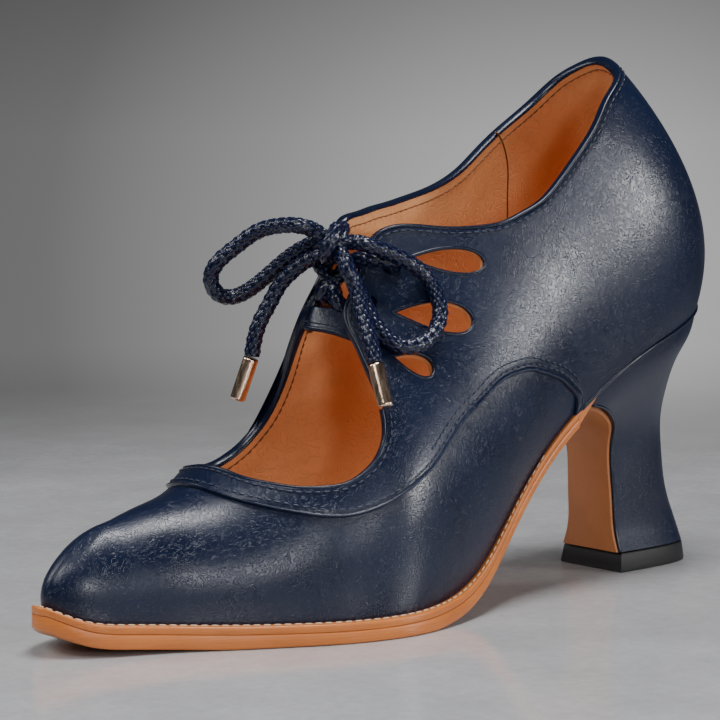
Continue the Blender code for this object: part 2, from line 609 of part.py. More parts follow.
def build_strap():
    """Bridge over the throat, tucked under both facings."""
    stations = np.linspace(STRAP_TOP, STRAP_BOTTOM, STRAP_ROWS)
    climbs = np.linspace(STRAP_OUTER_END, 2 - STRAP_INNER_END, STRAP_COLUMNS)
    sheets = []
    for depth in (WALL + GAP, WALL + GAP + STRAP_THICK):
        sheet = []
        for station in stations:
            start = last_normal(station, STRAP_OUTER_END)
            end = last_normal(2 * TOE - station, STRAP_INNER_END)
            for climb, share in zip(climbs, np.linspace(0, 1, STRAP_COLUMNS)):
                real = station if climb <= 1 else 2 * TOE - station
                down = start * (1 - share) + end * share
                down = down / np.linalg.norm(down)
                sheet.append(last_point(real, min(climb, 2 - climb)) - down * depth)
        sheets.append(sheet)
    size = STRAP_ROWS * STRAP_COLUMNS
    faces = []
    for r in range(STRAP_ROWS - 1):
        for c in range(STRAP_COLUMNS - 1):
            a = r * STRAP_COLUMNS + c
            b, d = a + 1, a + STRAP_COLUMNS
            faces.append((a, b, d + 1, d))
            faces.append((size + d, size + d + 1, size + b, size + a))
    border = [c for c in range(STRAP_COLUMNS)]
    border += [r * STRAP_COLUMNS + STRAP_COLUMNS - 1 for r in range(1, STRAP_ROWS)]
    border += [size - 2 - c for c in range(STRAP_COLUMNS - 1)]
    border += [r * STRAP_COLUMNS for r in range(STRAP_ROWS - 2, 0, -1)]
    for i, a in enumerate(border):
        b = border[(i + 1) % len(border)]
        faces.append((a, b, size + b, size + a))
    return solid("throat_strap", np.concatenate(sheets), faces, "navy leather")


# Sole and heel

def build_insole(columns):
    stations = foot_stations(columns)
    inside = -(WALL + INSOLE_FIT)
    rings = [sole_edge(stations, inside, -GAP), sole_edge(stations, inside, -(GAP + INSOLE_THICK))]
    stack("insole", rings, "tan insole", back_point=True)


def sole_stations(columns):
    """Stations of the sole, from wing tip to wing tip round the toe."""
    stations = foot_stations(columns)
    start = HEEL_WING + SOLE_CLEARANCE / (foot_along(HEEL_WING + 0.5) - foot_along(HEEL_WING - 0.5))
    keep = [s for s in stations if start + 0.1 < s < 2 * TOE - start - 0.1]
    return np.array([start] + keep + [2 * TOE - start])


def waist_share(stations):
    """0 at the wing tips, 1 from the ball forward."""
    return smooth_step((from_back(stations) - HEEL_WING) / (SLOPE_FROM - 2 - HEEL_WING))


def welt_out(stations):
    return WELT_WAIST_OUT + (WELT_OUT - WELT_WAIST_OUT) * waist_share(stations)


def build_welt(columns):
    stations = sole_stations(columns)
    out = welt_out(stations)
    corner = WELT_THICK / 4
    profile = [(-WELT_TUCK + 0 * out, 0), (out - corner, 0), (out, corner), (out, WELT_THICK - corner),
               (out - corner, WELT_THICK), (-WELT_TUCK + 0 * out, WELT_THICK)]
    lines = [sole_edge(stations, shift, drop) for shift, drop in profile]
    rings = [[line[i] for line in lines] for i in range(len(stations))]
    size = len(profile)
    end = (len(rings) - 1) * size
    faces = skin(rings, closed=True) + [tuple(range(size)), tuple(range(end, end + size))]
    solid("welt", np.concatenate(rings), faces, "tan welt")


def build_outsole(columns):
    stations = sole_stations(columns)
    out = welt_out(stations)
    thick = SHANK_THICK + (SOLE_THICK - SHANK_THICK) * waist_share(stations)
    under_welt = WELT_THICK + GAP
    bottom = WELT_THICK + thick + 2 * GAP
    rings = [sole_edge(stations, out - SOLE_BEVEL, bottom, floor=0),
             sole_edge(stations, out, bottom - SOLE_BEVEL, floor=SOLE_BEVEL),
             sole_edge(stations, out, under_welt),
             sole_edge(stations, -(WELT_TUCK + GAP) + 0 * out, under_welt),
             sole_edge(stations, -(WELT_TUCK + GAP) + 0 * out, 0)]
    stack("outsole", rings, "tan sole", back_point=False)


def heel_share():
    """Share of the way from breast to back for each point round the heel."""
    stations = np.linspace(HEEL_WING, 0, HEEL_POINTS)
    along = foot_along(stations)
    return stations, (along[0] - along) / (along[0] - along[-1])


def heel_width(share):
    return (1 - HEEL_TAPER * share) * np.clip(1 - share ** HEEL_SQUARE, 0, 1) ** HEEL_ROUND


def build_heel():
    stations, share = heel_share()
    around_back = np.concatenate([stations, 2 * TOE - stations[-2::-1]])
    shares = np.concatenate([share, share[-2::-1]])
    sign = np.concatenate([-np.ones(HEEL_POINTS), np.ones(HEEL_POINTS - 1)])
    seat = sole_edge(around_back, OVERLAY, 0)
    front, back = seat[0], seat[HEEL_POINTS - 1]
    straight = front[2] + (back[2] - front[2]) * shares
    rings = []
    for row in HEEL:
        plan_x = -(row.front + (row.back - row.front) * shares) * LENGTH
        narrow = sign * row.half_width * TOP_PIECE_WIDTH * heel_width(shares)
        plan_y = narrow + (seat[:, 1] - narrow) * row.spread
        level = (row.front_height + (row.back_height - row.front_height) * shares) * SEAT_HEIGHT
        level = level + (seat[:, 2] - straight) * row.spread
        rings.append(np.stack([plan_x, plan_y, level], 1))
    along, half = top_piece_plan(shares, 0)
    foot = np.stack([-along, sign * half, np.full(len(shares), TOP_PIECE_HEIGHT + GAP)], 1)
    rings = [foot] + rings + [seat]
    stack("heel", rings, "navy leather", back_point=False)


def top_piece_plan(shares, rim):
    """Places along and half widths of the foot of the heel, grown by a rim."""
    back = HEEL[0].back * LENGTH - (TOP_PIECE_LENGTH - (HEEL[0].front - HEEL[0].back) * LENGTH)
    front = back + TOP_PIECE_LENGTH
    along = front + rim + (back - front - 2 * rim) * shares
    half = (TOP_PIECE_WIDTH / 2 - TOP_PIECE_RIM + rim) * heel_width(shares)
    return along, half


def build_top_piece():
    share = heel_share()[1]
    shares = np.concatenate([share, share[-2::-1]])
    sign = np.concatenate([-np.ones(HEEL_POINTS), np.ones(HEEL_POINTS - 1)])
    rings = []
    levels = ((TOP_PIECE_RIM / 2, 0), (TOP_PIECE_RIM, SOLE_BEVEL), (TOP_PIECE_RIM, TOP_PIECE_HEIGHT))
    for rim, height in levels:
        along, half = top_piece_plan(shares, rim)
        rings.append(np.stack([-along, sign * half, np.full(len(shares), float(height))], 1))
    stack("top_piece", rings, "black rubber", back_point=False)


def breast_line():
    """Front of the heel in side view, with the half width: rows of along, height, half width."""
    front = top_piece_plan(np.array([0.0]), 0)
    rows = [(front[0][0], TOP_PIECE_HEIGHT + GAP, front[1][0])]
    seat = sole_edge(np.array([HEEL_WING, 2 * TOE - HEEL_WING]), OVERLAY, 0)
    for row in HEEL:
        narrow = row.half_width * TOP_PIECE_WIDTH
        outer = narrow + (-seat[0, 1] - narrow) * row.spread
        inner = narrow + (seat[1, 1] - narrow) * row.spread
        rows.append((row.front * LENGTH, row.front_height * SEAT_HEIGHT, min(outer, inner)))
    return np.array(rows)


def build_breast_cover():
    line = breast_line()
    run = np.gradient(line[:, :2], axis=0)
    normal = np.stack([run[:, 1], -run[:, 0]], 1)
    normal = normal / np.linalg.norm(normal, axis=1, keepdims=True)
    near = line[:, :2] + normal * GAP
    far = line[:, :2] + normal * (GAP + BREAST_THICK)
    half = line[:, 2] - BREAST_INSET
    low = TOP_PIECE_HEIGHT + GAP
    rings = []
    for i in range(len(line)):
        ring = []
        for place, sign in ((near, -1), (near, 1), (far, 1), (far, -1)):
            ring.append((-place[i, 0], sign * half[i], max(place[i, 1], low)))
        rings.append(ring)
    end = 4 * (len(rings) - 1)
    faces = skin(rings, closed=True) + [(0, 1, 2, 3), (end, end + 1, end + 2, end + 3)]
    solid("heel_breast_cover", np.concatenate(rings), faces, "tan sole")


# Lace

def smooth_route(points, step):
    """Even points on a smooth curve through the route's own points."""
    points = np.array(points)
    lengths = np.concatenate([[0], np.cumsum(np.linalg.norm(np.diff(points, axis=0), axis=1))])
    curve = open_curve(lengths, points)
    return curve(np.linspace(0, lengths[-1], int(round(lengths[-1] / step)) + 1))


def tube(name, points, radius, sides, look):
    """Closed round tube on a line, as a mesh."""
    points = np.array(points)
    run = np.gradient(points, axis=0)
    run = run / np.linalg.norm(run, axis=1, keepdims=True)
    side = np.cross(run[0], (0.0, 0.0, 1.0))
    rings = []
    for place, ahead in zip(points, run):
        side = side - ahead * np.dot(side, ahead)
        side = side / np.linalg.norm(side)
        other = np.cross(ahead, side)
        turns = 2 * np.pi * np.arange(sides) / sides
        rings.append([place + radius * (side * np.cos(t) + other * np.sin(t)) for t in turns])
    end = (len(rings) - 1) * sides
    faces = skin(rings, closed=True) + [tuple(range(sides)), tuple(range(end, end + sides))]
    return solid(name, np.concatenate(rings), faces, look)


def crossing_route(side):
    """From between the facings, over the throat and up to the upper eyelet of one side."""
    eyelet = [row for row in EYELETS if row.side == side][0]
    top = surface(on_side(side, eyelet.station), eyelet.climb, LACE_LIFT)
    return (CROSSING_OUTER if side == "outer" else CROSSING_INNER) + [tuple(top)]


def build_crossings():
    """Both lengths of lace over the throat, joined where they cross."""
    first = tube("lace_crossings", smooth_route(crossing_route("outer"), LACE / 2), LACE / 2,
                 CROSSING_SIDES, "lace cord")
    second = tube("lace_crossing_other", smooth_route(crossing_route("inner"), LACE / 2), LACE / 2,
                  CROSSING_SIDES, None)
    second.hide_render = True
    second.display_type = "WIRE"
    joined = first.modifiers.new("joined", "BOOLEAN")
    joined.operation = "UNION"
    joined.object = second


def build_knot():
    shape = bmesh.new()
    bmesh.ops.create_uvsphere(shape, u_segments=14, v_segments=8, radius=0.5)
    bmesh.ops.scale(shape, vec=KNOT_SIZE, verts=shape.verts)
    bmesh.ops.translate(shape, vec=KNOT, verts=shape.verts)
    mesh = bpy.data.meshes.new("lace_knot")
    shape.to_mesh(mesh)
    shape.free()
    mesh.shade_smooth()
    add_object("lace_knot", mesh, "lace cord")


def free_of_knot(points):
    """The part of a route outside the knot."""
    level = np.linalg.norm((points - np.array(KNOT)) / (np.array(KNOT_SIZE) / 2), axis=1)
    outside = np.flatnonzero(level > KNOT_CLEAR)
    return points[outside[0]:outside[-1] + 1]


def lace_points(route):
    """Even points on a route, outside the knot."""
    fine = free_of_knot(smooth_route(route, LACE / 20))
    count = int(round(len(fine) * LACE / 20 / LACE_STEP))
    return fine[np.linspace(0, len(fine) - 1, count + 1).round().astype(int)]


def build_ends():
    """Two loops, two ends and their tips."""
    cord("lace_loop_outer", lace_points(LOOP_OUTER), LACE, "lace cord")
    cord("lace_loop_inner", lace_points(LOOP_INNER), LACE, "lace cord")
    ends = (("outer", END_OUTER, AGLET_OUTER_TIP), ("inner", END_INNER, AGLET_INNER_TIP))
    for side, route, tip in ends:
        points = lace_points(route)
        cord("lace_end_" + side, points, LACE, "lace cord")
        ahead = np.array(tip) - points[-1]
        ahead = ahead / np.linalg.norm(ahead)
        start = points[-1] + ahead * 2 * GAP
        tube("aglet_" + side, [start, start + ahead * AGLET_LENGTH], AGLET / 2, 12, "gilt metal")


# The model

FRAME = "shoe"


def centre_of_outline(columns):
    """Middle of the shoe in plan, from its counter, heel and sole."""
    stations = sole_stations(columns)
    sole = sole_edge(stations, welt_out(stations), 0)
    counter = surface(np.zeros(40), np.linspace(0, 0.5, 40), np.full(40, OVERLAY))
    heel = -top_piece_plan(np.array([1.0]), TOP_PIECE_RIM)[0][0]
    back = max(counter[:, 0].max(), heel)
    return (sole[:, 0].min() + back) / 2, (sole[:, 1].min() + sole[:, 1].max()) / 2


def main():
    for item in list(bpy.data.objects):
        bpy.data.objects.remove(item, do_unlink=True)
    frame = bpy.data.objects.new(FRAME, None)
    bpy.context.scene.collection.objects.link(frame)
    columns = build_upper()
    middle_x, middle_y = centre_of_outline(columns)
    frame.location = (-middle_x, -middle_y, 0)
    build_binding()
    build_strap()
    build_insole(columns)
    build_welt(columns)
    build_outsole(columns)
    build_heel()
    build_top_piece()
    build_breast_cover()
    build_crossings()
    build_knot()
    build_ends()
    bpy.context.view_layer.update()


main()
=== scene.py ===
"""Looks of a left court shoe: navy leather, keyhole throat, cord bow, welted sole, covered heel.

The leather follows the same last as the solids: last_point(station, climb). A station runs once
round the edge of the sole, from the back seam (0) along the outer side to the toe (TOE) and home.
Climb runs from the edge of the sole (0) up to the ridge of the last (1). The shoe's own frame has
its back at x = 0 and its toe at -X, and PLACE moves it into the frame of the solids.
"""

import bpy
import bmesh
import numpy as np
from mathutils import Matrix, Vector
from mathutils.bvhtree import BVHTree


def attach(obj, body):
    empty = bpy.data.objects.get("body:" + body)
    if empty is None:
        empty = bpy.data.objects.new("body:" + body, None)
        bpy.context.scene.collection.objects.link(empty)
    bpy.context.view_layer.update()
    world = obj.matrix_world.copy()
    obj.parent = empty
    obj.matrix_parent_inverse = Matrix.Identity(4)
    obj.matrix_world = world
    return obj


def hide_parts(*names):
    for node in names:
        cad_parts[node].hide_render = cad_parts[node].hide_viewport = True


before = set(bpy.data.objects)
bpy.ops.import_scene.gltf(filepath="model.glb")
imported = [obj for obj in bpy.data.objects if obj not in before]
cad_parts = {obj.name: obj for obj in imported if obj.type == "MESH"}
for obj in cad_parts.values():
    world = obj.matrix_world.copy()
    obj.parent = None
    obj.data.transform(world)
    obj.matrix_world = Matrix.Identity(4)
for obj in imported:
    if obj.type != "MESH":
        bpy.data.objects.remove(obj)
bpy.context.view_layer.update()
bpy.ops.object.select_all(action="DESELECT")

PLACE = np.array([0.118842, 0.001207, 0.0])

# Camera: the photograph's own, solved from the shoe's outline
AZIMUTH, ELEVATION = -41.0, 6.04
DISTANCE = 0.7239
TARGET = (-0.14249, -0.012, 0.0732)
LENS = 130.0

# Last, as in the solids
LENGTH = 0.240
BALL_WIDTH = 0.072
SEAT_HEIGHT = 0.084
INSTEP_RISE = 0.079
TOE_SPRING = 0.0076
RIDGE_ROUND = 0.2
COUNTER_LEAN = 0.067
GAP = 0.0003
WALL = 0.002
OVERLAY = 0.001
WELT_THICK = 0.0022
WELT_OUT = 0.0027
WELT_WAIST_OUT = 0.0010
WELT_TUCK = 0.0045
SOLE_THICK = 0.0036
SHANK_THICK = 0.0026
INSOLE_THICK = 0.0025
INSOLE_FIT = 0.0005
TOP_PIECE_HEIGHT = 0.006
TOP_PIECE_LENGTH = 0.0355
TOP_PIECE_WIDTH = 0.0250
TOP_PIECE_RIM = 0.0004
BREAST_THICK = 0.0014
BREAST_INSET = 0.0011
STRAP_THICK = 0.0018
EYELET = 0.0048
LACE = 0.0040
AGLET = 0.0044
KNOT = (-0.1452, -0.0045, 0.1054)
KNOT_SIZE = (0.0104, 0.0104, 0.0124)
EDGE = WELT_THICK + SOLE_THICK
LEAN_REACH, LEAN_TOP = 4.0, 0.6       # station and climb where the counter's lean ends

# Trim that only the looks have
BEAD = 0.0016             # width of the rolled binding that is seen
PLAIT = 0.0031            # length along the cord of one turn of the plait's pattern
STITCH, THREAD, PITCH = 0.0017, 0.0005, 0.0025
BINDING_ROW, LINING_ROW = 0.0022, 0.0034      # from the edge of collar and throat
QUARTER_ROW, SECOND_ROW = 0.0021, 0.0040      # from the quarter's lower edge
# sink and radius of a dark rope of painted shade standing for the needle holes under a row of stitches
HOLE_SHADE_SUNK, HOLE_SHADE_RADIUS = 0.00023, 0.00032   # dark line of needle holes under a row of stitches

PROFILE = [  # along, seat, spring
    (0.000, 1.000, 0.00), (0.0625, 0.935, 0.00), (0.125, 0.871, 0.00), (0.1875, 0.794, 0.00),
    (0.250, 0.680, 0.00), (0.292, 0.586, 0.00), (0.333, 0.476, 0.00), (0.375, 0.349, 0.00),
    (0.417, 0.219, 0.00), (0.458, 0.114, 0.00), (0.500, 0.049, 0.00), (0.542, 0.018, 0.00),
    (0.604, 0.003, 0.00), (0.6875, 0.000, 0.00), (0.771, 0.000, 0.04), (0.854, 0.000, 0.15),
    (0.917, 0.000, 0.30), (0.958, 0.000, 0.50), (0.992, 0.000, 1.00)]
SECTIONS = [  # along, outer, inner, ridge along, ridge rise, ridge across, fullness
    (0.0060, 0.000, 0.000, 0.592, 1.259, 0.000, 0.095),
    (0.0300, 0.196, 0.182, 0.590, 1.226, 0.000, 0.115),
    (0.0830, 0.304, 0.284, 0.579, 1.137, 0.000, 0.190),
    (0.1580, 0.342, 0.328, 0.572, 1.019, 0.010, 0.280),
    (0.2420, 0.331, 0.292, 0.569, 0.978, 0.020, 0.300),
    (0.3250, 0.317, 0.247, 0.576, 0.994, 0.030, 0.280),
    (0.4080, 0.350, 0.239, 0.593, 1.000, 0.040, 0.240),
    (0.4920, 0.431, 0.292, 0.619, 1.000, 0.045, 0.180),
    (0.5750, 0.504, 0.393, 0.645, 0.897, 0.045, 0.130),
    (0.6330, 0.511, 0.458, 0.670, 0.780, 0.042, 0.100),
    (0.6920, 0.462, 0.483, 0.706, 0.655, 0.040, 0.080),
    (0.7500, 0.372, 0.464, 0.750, 0.520, 0.042, 0.070),
    (0.8080, 0.268, 0.412, 0.797, 0.428, 0.050, 0.060),
    (0.8670, 0.160, 0.335, 0.842, 0.380, 0.060, 0.060),
    (0.9220, 0.085, 0.262, 0.880, 0.336, 0.070, 0.070),
    (0.9630, 0.012, 0.190, 0.908, 0.292, 0.078, 0.090),
    (0.9845, -0.083, 0.083, 0.925, 0.244, 0.083, 0.110)]
TOE = len(SECTIONS) - 1
RIM = [  # foot, outer, outer climb, inner, inner climb
    (0.00, 0.00, 0.535, 0.00, 0.535), (0.70, 0.70, 0.543, 0.80, 0.536), (1.35, 1.33, 0.561, 1.60, 0.560),
    (2.00, 2.05, 0.599, 2.40, 0.596), (2.65, 2.69, 0.628, 3.07, 0.630), (3.30, 3.49, 0.630, 3.71, 0.652),
    (3.90, 4.13, 0.618, 4.30, 0.668), (4.40, 4.54, 0.611, 4.72, 0.700), (4.75, 4.83, 0.624, 5.00, 0.745),
    (5.00, 5.06, 0.645, 5.18, 0.785), (5.20, 5.25, 0.687, 5.31, 0.825), (5.38, 5.39, 0.735, 5.42, 0.860),
    (5.55, 5.47, 0.785, 5.49, 0.893), (5.72, 5.55, 0.836, 5.57, 0.920), (5.90, 5.68, 0.870, 5.70, 0.933),
    (6.05, 5.85, 0.885, 5.88, 0.935), (6.25, 6.10, 0.887, 6.13, 0.932), (6.50, 6.45, 0.884, 6.47, 0.929),
    (6.80, 6.80, 0.880, 6.82, 0.926), (7.10, 7.10, 0.872, 7.13, 0.916), (7.35, 7.40, 0.838, 7.40, 0.890),
    (7.60, 7.66, 0.777, 7.66, 0.830), (7.85, 7.91, 0.711, 7.88, 0.740), (8.10, 8.12, 0.637, 8.08, 0.630),
    (8.40, 8.41, 0.554, 8.37, 0.530), (8.70, 8.67, 0.509, 8.70, 0.482), (9.05, 9.03, 0.478, 9.05, 0.455),
    (9.45, 9.46, 0.465, 9.50, 0.447), (9.85, 9.88, 0.478, 9.95, 0.470), (10.30, 10.40, 0.541, 10.45, 0.540),
    (10.65, 10.80, 0.649, 10.82, 0.655), (10.95, 11.10, 0.796, 11.10, 0.805),
    (11.20, 11.20, 1.000, 11.20, 1.000)]
QUARTER_EDGE = [  # station, climb
    (4.55, 0.000), (4.76, 0.070), (5.04, 0.134), (5.34, 0.210), (5.63, 0.280), (5.87, 0.337), (6.08, 0.369),
    (6.34, 0.395), (6.74, 0.401), (7.17, 0.395), (7.66, 0.363), (8.05, 0.344), (8.73, 0.331), (9.30, 0.331),
    (9.79, 0.344), (10.30, 0.385), (10.82, 0.478), (11.30, 0.605), (11.65, 0.738), (11.85, 0.870),
    (11.95, 1.000)]
QUARTER_BACK, QUARTER_FRONT = QUARTER_EDGE[0][0], QUARTER_EDGE[-1][0]
CUT_OUTS = [  # side, tip, tip climb, end, end climb, width
    ("outer", 5.95, 0.785, 5.59, 0.622, 0.0074), ("outer", 6.80, 0.748, 6.21, 0.566, 0.0095),
    ("outer", 7.43, 0.672, 7.12, 0.560, 0.0068), ("inner", 5.93, 0.800, 5.50, 0.640, 0.0074),
    ("inner", 6.60, 0.745, 6.02, 0.590, 0.0095), ("inner", 6.70, 0.600, 6.40, 0.490, 0.0068)]
EYELETS = [("outer", 6.13, 0.815), ("outer", 6.82, 0.818), ("inner", 6.13, 0.855), ("inner", 6.82, 0.850)]
STRAP_TOP, STRAP_BOTTOM = 6.98, 7.46
STRAP_OUTER_END, STRAP_INNER_END = 0.800, 0.840
HEEL = [  # back height, front height, back, front, half width, spread
    (0.145, 0.146, 0.0095, 0.1500, 0.410, 0.00), (0.263, 0.263, 0.0275, 0.1520, 0.385, 0.00),
    (0.427, 0.400, 0.0375, 0.1555, 0.368, 0.00), (0.550, 0.489, 0.0430, 0.1600, 0.400, 0.03),
    (0.649, 0.555, 0.0470, 0.1740, 0.510, 0.14), (0.743, 0.609, 0.0480, 0.2030, 0.650, 0.36),
    (0.827, 0.643, 0.0380, 0.2330, 0.790, 0.64), (0.905, 0.656, 0.0160, 0.2600, 0.880, 0.90)]
HEEL_WING = 4.42
HEEL_TAPER, HEEL_SQUARE, HEEL_ROUND = 0.04, 5.0, 0.45

LOOP_OUTER = [(-0.1428, -0.0093, 0.1062), (-0.1407, -0.0125, 0.1053), (-0.1347, -0.0148, 0.1031),
              (-0.1280, -0.0172, 0.0996), (-0.1223, -0.0178, 0.0952), (-0.1211, -0.0205, 0.0902),
              (-0.1219, -0.0225, 0.0854), (-0.1263, -0.0240, 0.0801), (-0.1320, -0.0245, 0.0777),
              (-0.1367, -0.0230, 0.0774), (-0.1394, -0.0200, 0.0798), (-0.1409, -0.0165, 0.0836),
              (-0.1412, -0.0130, 0.0883), (-0.1415, -0.0100, 0.0929), (-0.1427, -0.0080, 0.0968)]
LOOP_INNER = [(-0.1494, -0.0005, 0.1092), (-0.1533, 0.0010, 0.1104), (-0.1556, 0.0070, 0.1103),
              (-0.1583, 0.0130, 0.1087), (-0.1618, 0.0190, 0.1041), (-0.1658, 0.0230, 0.0990),
              (-0.1661, 0.0250, 0.0949), (-0.1636, 0.0250, 0.0906), (-0.1593, 0.0240, 0.0895),
              (-0.1545, 0.0200, 0.0925), (-0.1517, 0.0140, 0.0977), (-0.1493, 0.0080, 0.1024),
              (-0.1467, 0.0020, 0.1057)]
END_OUTER = [(-0.1470, -0.0105, 0.1015), (-0.1472, -0.0125, 0.0985), (-0.1463, -0.0135, 0.0955),
             (-0.1460, -0.0155, 0.0907), (-0.1466, -0.0185, 0.0851), (-0.1474, -0.0220, 0.0794),
             (-0.1479, -0.0245, 0.0738)]
END_INNER = [(-0.1487, -0.0030, 0.1026), (-0.1503, 0.0025, 0.1002), (-0.1521, 0.0060, 0.0973),
             (-0.1540, 0.0090, 0.0936), (-0.1560, 0.0110, 0.0885), (-0.1581, 0.0125, 0.0837),
             (-0.1595, 0.0135, 0.0786), (-0.1602, 0.0140, 0.0735)]
AGLET_TIPS = {"outer": (-0.1494, -0.0315, 0.0603), "inner": (-0.1629, 0.0175, 0.0607)}
CROSSING = {"outer": [(-0.1440, 0.0026, 0.0906), (-0.1411, -0.0006, 0.0955), (-0.1382, -0.0066, 0.1008)],
            "inner": [(-0.1424, -0.0028, 0.0884), (-0.1424, -0.0001, 0.0932), (-0.1431, 0.0070, 0.1014)]}
LACE_LIFT = OVERLAY + LACE / 2 + 2 * GAP
KNOT_CLEAR = 1.22


# Curves and the last

def closed_curve(values):
    """Smooth periodic curve through values at 0, 1, 2 ..."""
    values = np.asarray(values, float)
    count = len(values)
    matrix = 4 * np.eye(count) + np.roll(np.eye(count), 1, 0) + np.roll(np.eye(count), -1, 0)
    bend = np.linalg.solve(matrix, 6 * (np.roll(values, -1) - 2 * values + np.roll(values, 1)))

    def at(x):
        x = np.asarray(x, float) % count
        low = np.floor(x).astype(int) % count
        high = (low + 1) % count
        part = x - np.floor(x)
        rest = 1 - part
        return (rest * values[low] + part * values[high]
                + ((rest ** 3 - rest) * bend[low] + (part ** 3 - part) * bend[high]) / 6)
    return at


def open_curve(xs, ys):
    """Smooth curve through points with rising xs; ys may have several columns."""
    xs = np.asarray(xs, float)
    ys = np.asarray(ys, float).reshape(len(xs), -1)
    step = np.diff(xs)
    matrix = np.eye(len(xs))
    right = np.zeros_like(ys)
    for i in range(1, len(xs) - 1):
        matrix[i, i - 1:i + 2] = step[i - 1], 2 * (step[i - 1] + step[i]), step[i]
        right[i] = 6 * ((ys[i + 1] - ys[i]) / step[i] - (ys[i] - ys[i - 1]) / step[i - 1])
    bend = np.linalg.solve(matrix, right)

    def at(x):
        x = np.clip(np.asarray(x, float), xs[0], xs[-1])
        low = np.clip(np.searchsorted(xs, x, side="right") - 1, 0, len(xs) - 2)
        wide = step[low][..., None]
        part = (x - xs[low])[..., None] / wide
        rest = 1 - part
        value = rest * ys[low] + part * ys[low + 1]
        value = value + ((rest ** 3 - rest) * bend[low] + (part ** 3 - part) * bend[low + 1]) * wide ** 2 / 6
        return value[..., 0] if ys.shape[1] == 1 else value
    return at


def marks_along(points):
    """Distance of each point of a line from its start."""
    return np.concatenate([[0], np.cumsum(np.linalg.norm(np.diff(points, axis=0), axis=1))])


def unit(rows):
    """Directions of length 1."""
    return rows / np.linalg.norm(rows, axis=-1, keepdims=True)


def smooth_step(value):
    """Eased share from 0 to 1."""
    value = np.clip(value, 0, 1)
    return value * value * (3 - 2 * value)


columns = np.array(SECTIONS).T
edge_height = open_curve([row[0] * LENGTH for row in PROFILE],
                         [EDGE + (SEAT_HEIGHT - EDGE) * row[1] + TOE_SPRING * row[2] for row in PROFILE])


def around(outer, inner=None):
    """Outer side back to toe, then the inner side toe to back; the toe belongs to the inner side."""
    inner = outer if inner is None else inner
    return closed_curve(list(outer[:TOE]) + list(inner[::-1][:TOE]))


foot_along = around(columns[0] * LENGTH)
foot_across = around(-columns[1] * BALL_WIDTH, columns[2] * BALL_WIDTH)
ridge_along = around(columns[3] * LENGTH)
ridge_rise = around(columns[4] * INSTEP_RISE)
ridge_across = around(columns[5] * BALL_WIDTH)
fullness = around(columns[6])


def from_back(station):
    """The same station counted from the back on either side."""
    return TOE - np.abs(np.asarray(station, float) % (2 * TOE) - TOE)


def ridge_slope(station):
    """Slope of the last's ridge ahead of the throat, so the toe's sections follow it."""
    place = np.clip(from_back(station), 9.5, TOE - 0.6)
    low, high = place - 0.05, place + 0.05
    lift = edge_height(foot_along(high)) + ridge_rise(high) - edge_height(foot_along(low)) - ridge_rise(low)
    return lift / (ridge_along(high) - ridge_along(low)) * smooth_step((from_back(station) - 9.5) / 1.7)


def counter_lean(station, climb):
    """How far the counter leans in below the collar: a bump with its peak, 1, at 3/5 of its height."""
    height = np.clip(climb / LEAN_TOP, 0, 1)
    fade = 1 - smooth_step(from_back(station) / LEAN_REACH)
    return COUNTER_LEAN * fade * 28.9 * height ** 3 * (1 - height) ** 2


def last_point(station, climb):
    """Point of the last's surface."""
    station, climb = np.broadcast_arrays(np.asarray(station, float), np.asarray(climb, float))
    turn = climb * np.pi / 2
    share = np.cos(turn) + fullness(station) * np.sin(2 * turn) - counter_lean(station, climb)
    soft = RIDGE_ROUND * smooth_step((from_back(station) - 4.0) / 1.6)
    share_along = share * share * (1 + soft) / (share + soft + 1e-9)
    foot = foot_along(station)
    lean = (foot - ridge_along(station)) * share_along
    across = ridge_across(station) + (foot_across(station) - ridge_across(station)) * share
    up = (edge_height(foot) + ridge_rise(station) * np.sin(turn)
          + ridge_slope(station) * lean * np.sin(turn))
    return np.stack([-(ridge_along(station) + lean), across, up], -1)


def tangents(station, climb):
    """Directions of the last's surface along its edge and upward."""
    along = (last_point(station + 1e-3, climb) - last_point(station - 1e-3, climb)) / 2e-3
    upward = (last_point(station, climb + 1e-3) - last_point(station, climb - 1e-3)) / 2e-3
    return along, upward


def last_normal(station, climb):
    """Outward direction of the last's surface."""
    along, upward = tangents(np.asarray(station, float), np.asarray(climb, float))
    normal = np.cross(upward, along)
    return unit(normal)


def surface(station, climb, lift):
    """Point at a height above the last."""
    return last_point(station, climb) + last_normal(station, climb) * np.asarray(lift, float)[..., None]


def sole_edge(station, out, drop, floor=None):
    """Point of the sole's outline, moved out and down, and kept above the floor."""
    station = np.asarray(station, float)
    normal = last_normal(station, np.zeros_like(station))[..., :2]
    normal = unit(normal)
    out = np.broadcast_to(np.asarray(out, float), station.shape)
    plan = last_point(station, np.zeros_like(station))[..., :2] + normal * out[..., None]
    height = edge_height(-plan[..., 0]) - drop
    if floor is not None:
        height = np.maximum(height, floor)
    return np.concatenate([plan, height[..., None]], -1)


def on_side(side, station):
    """Station on one side of a place counted from the back."""
    return station if side == "outer" else 2 * TOE - station


def inward(side, stations, climbs, distance):
    """A line of the last, drawn from back to front, moved down the leather; up where negative."""
    real = on_side(side, stations)
    along, upward = tangents(real, climbs)
    run = along * np.gradient(real)[:, None] + upward * np.gradient(climbs)[:, None]
    away = np.cross(last_normal(real, climbs), run) * (-1 if side == "inner" else 1)
    away = unit(away)
    first, mixed, second = (along * along).sum(1), (along * upward).sum(1), (upward * upward).sum(1)
    a, b = (along * away).sum(1), (upward * away).sum(1)
    area = first * second - mixed * mixed
    moved = real + distance * (second * a - mixed * b) / area
    return (moved if side == "outer" else 2 * TOE - moved), climbs + distance * (first * b - mixed * a) / area


rim_curve = open_curve(range(len(RIM)), RIM)
edge_curve = open_curve(np.linspace(0, 1, len(QUARTER_EDGE)), QUARTER_EDGE)


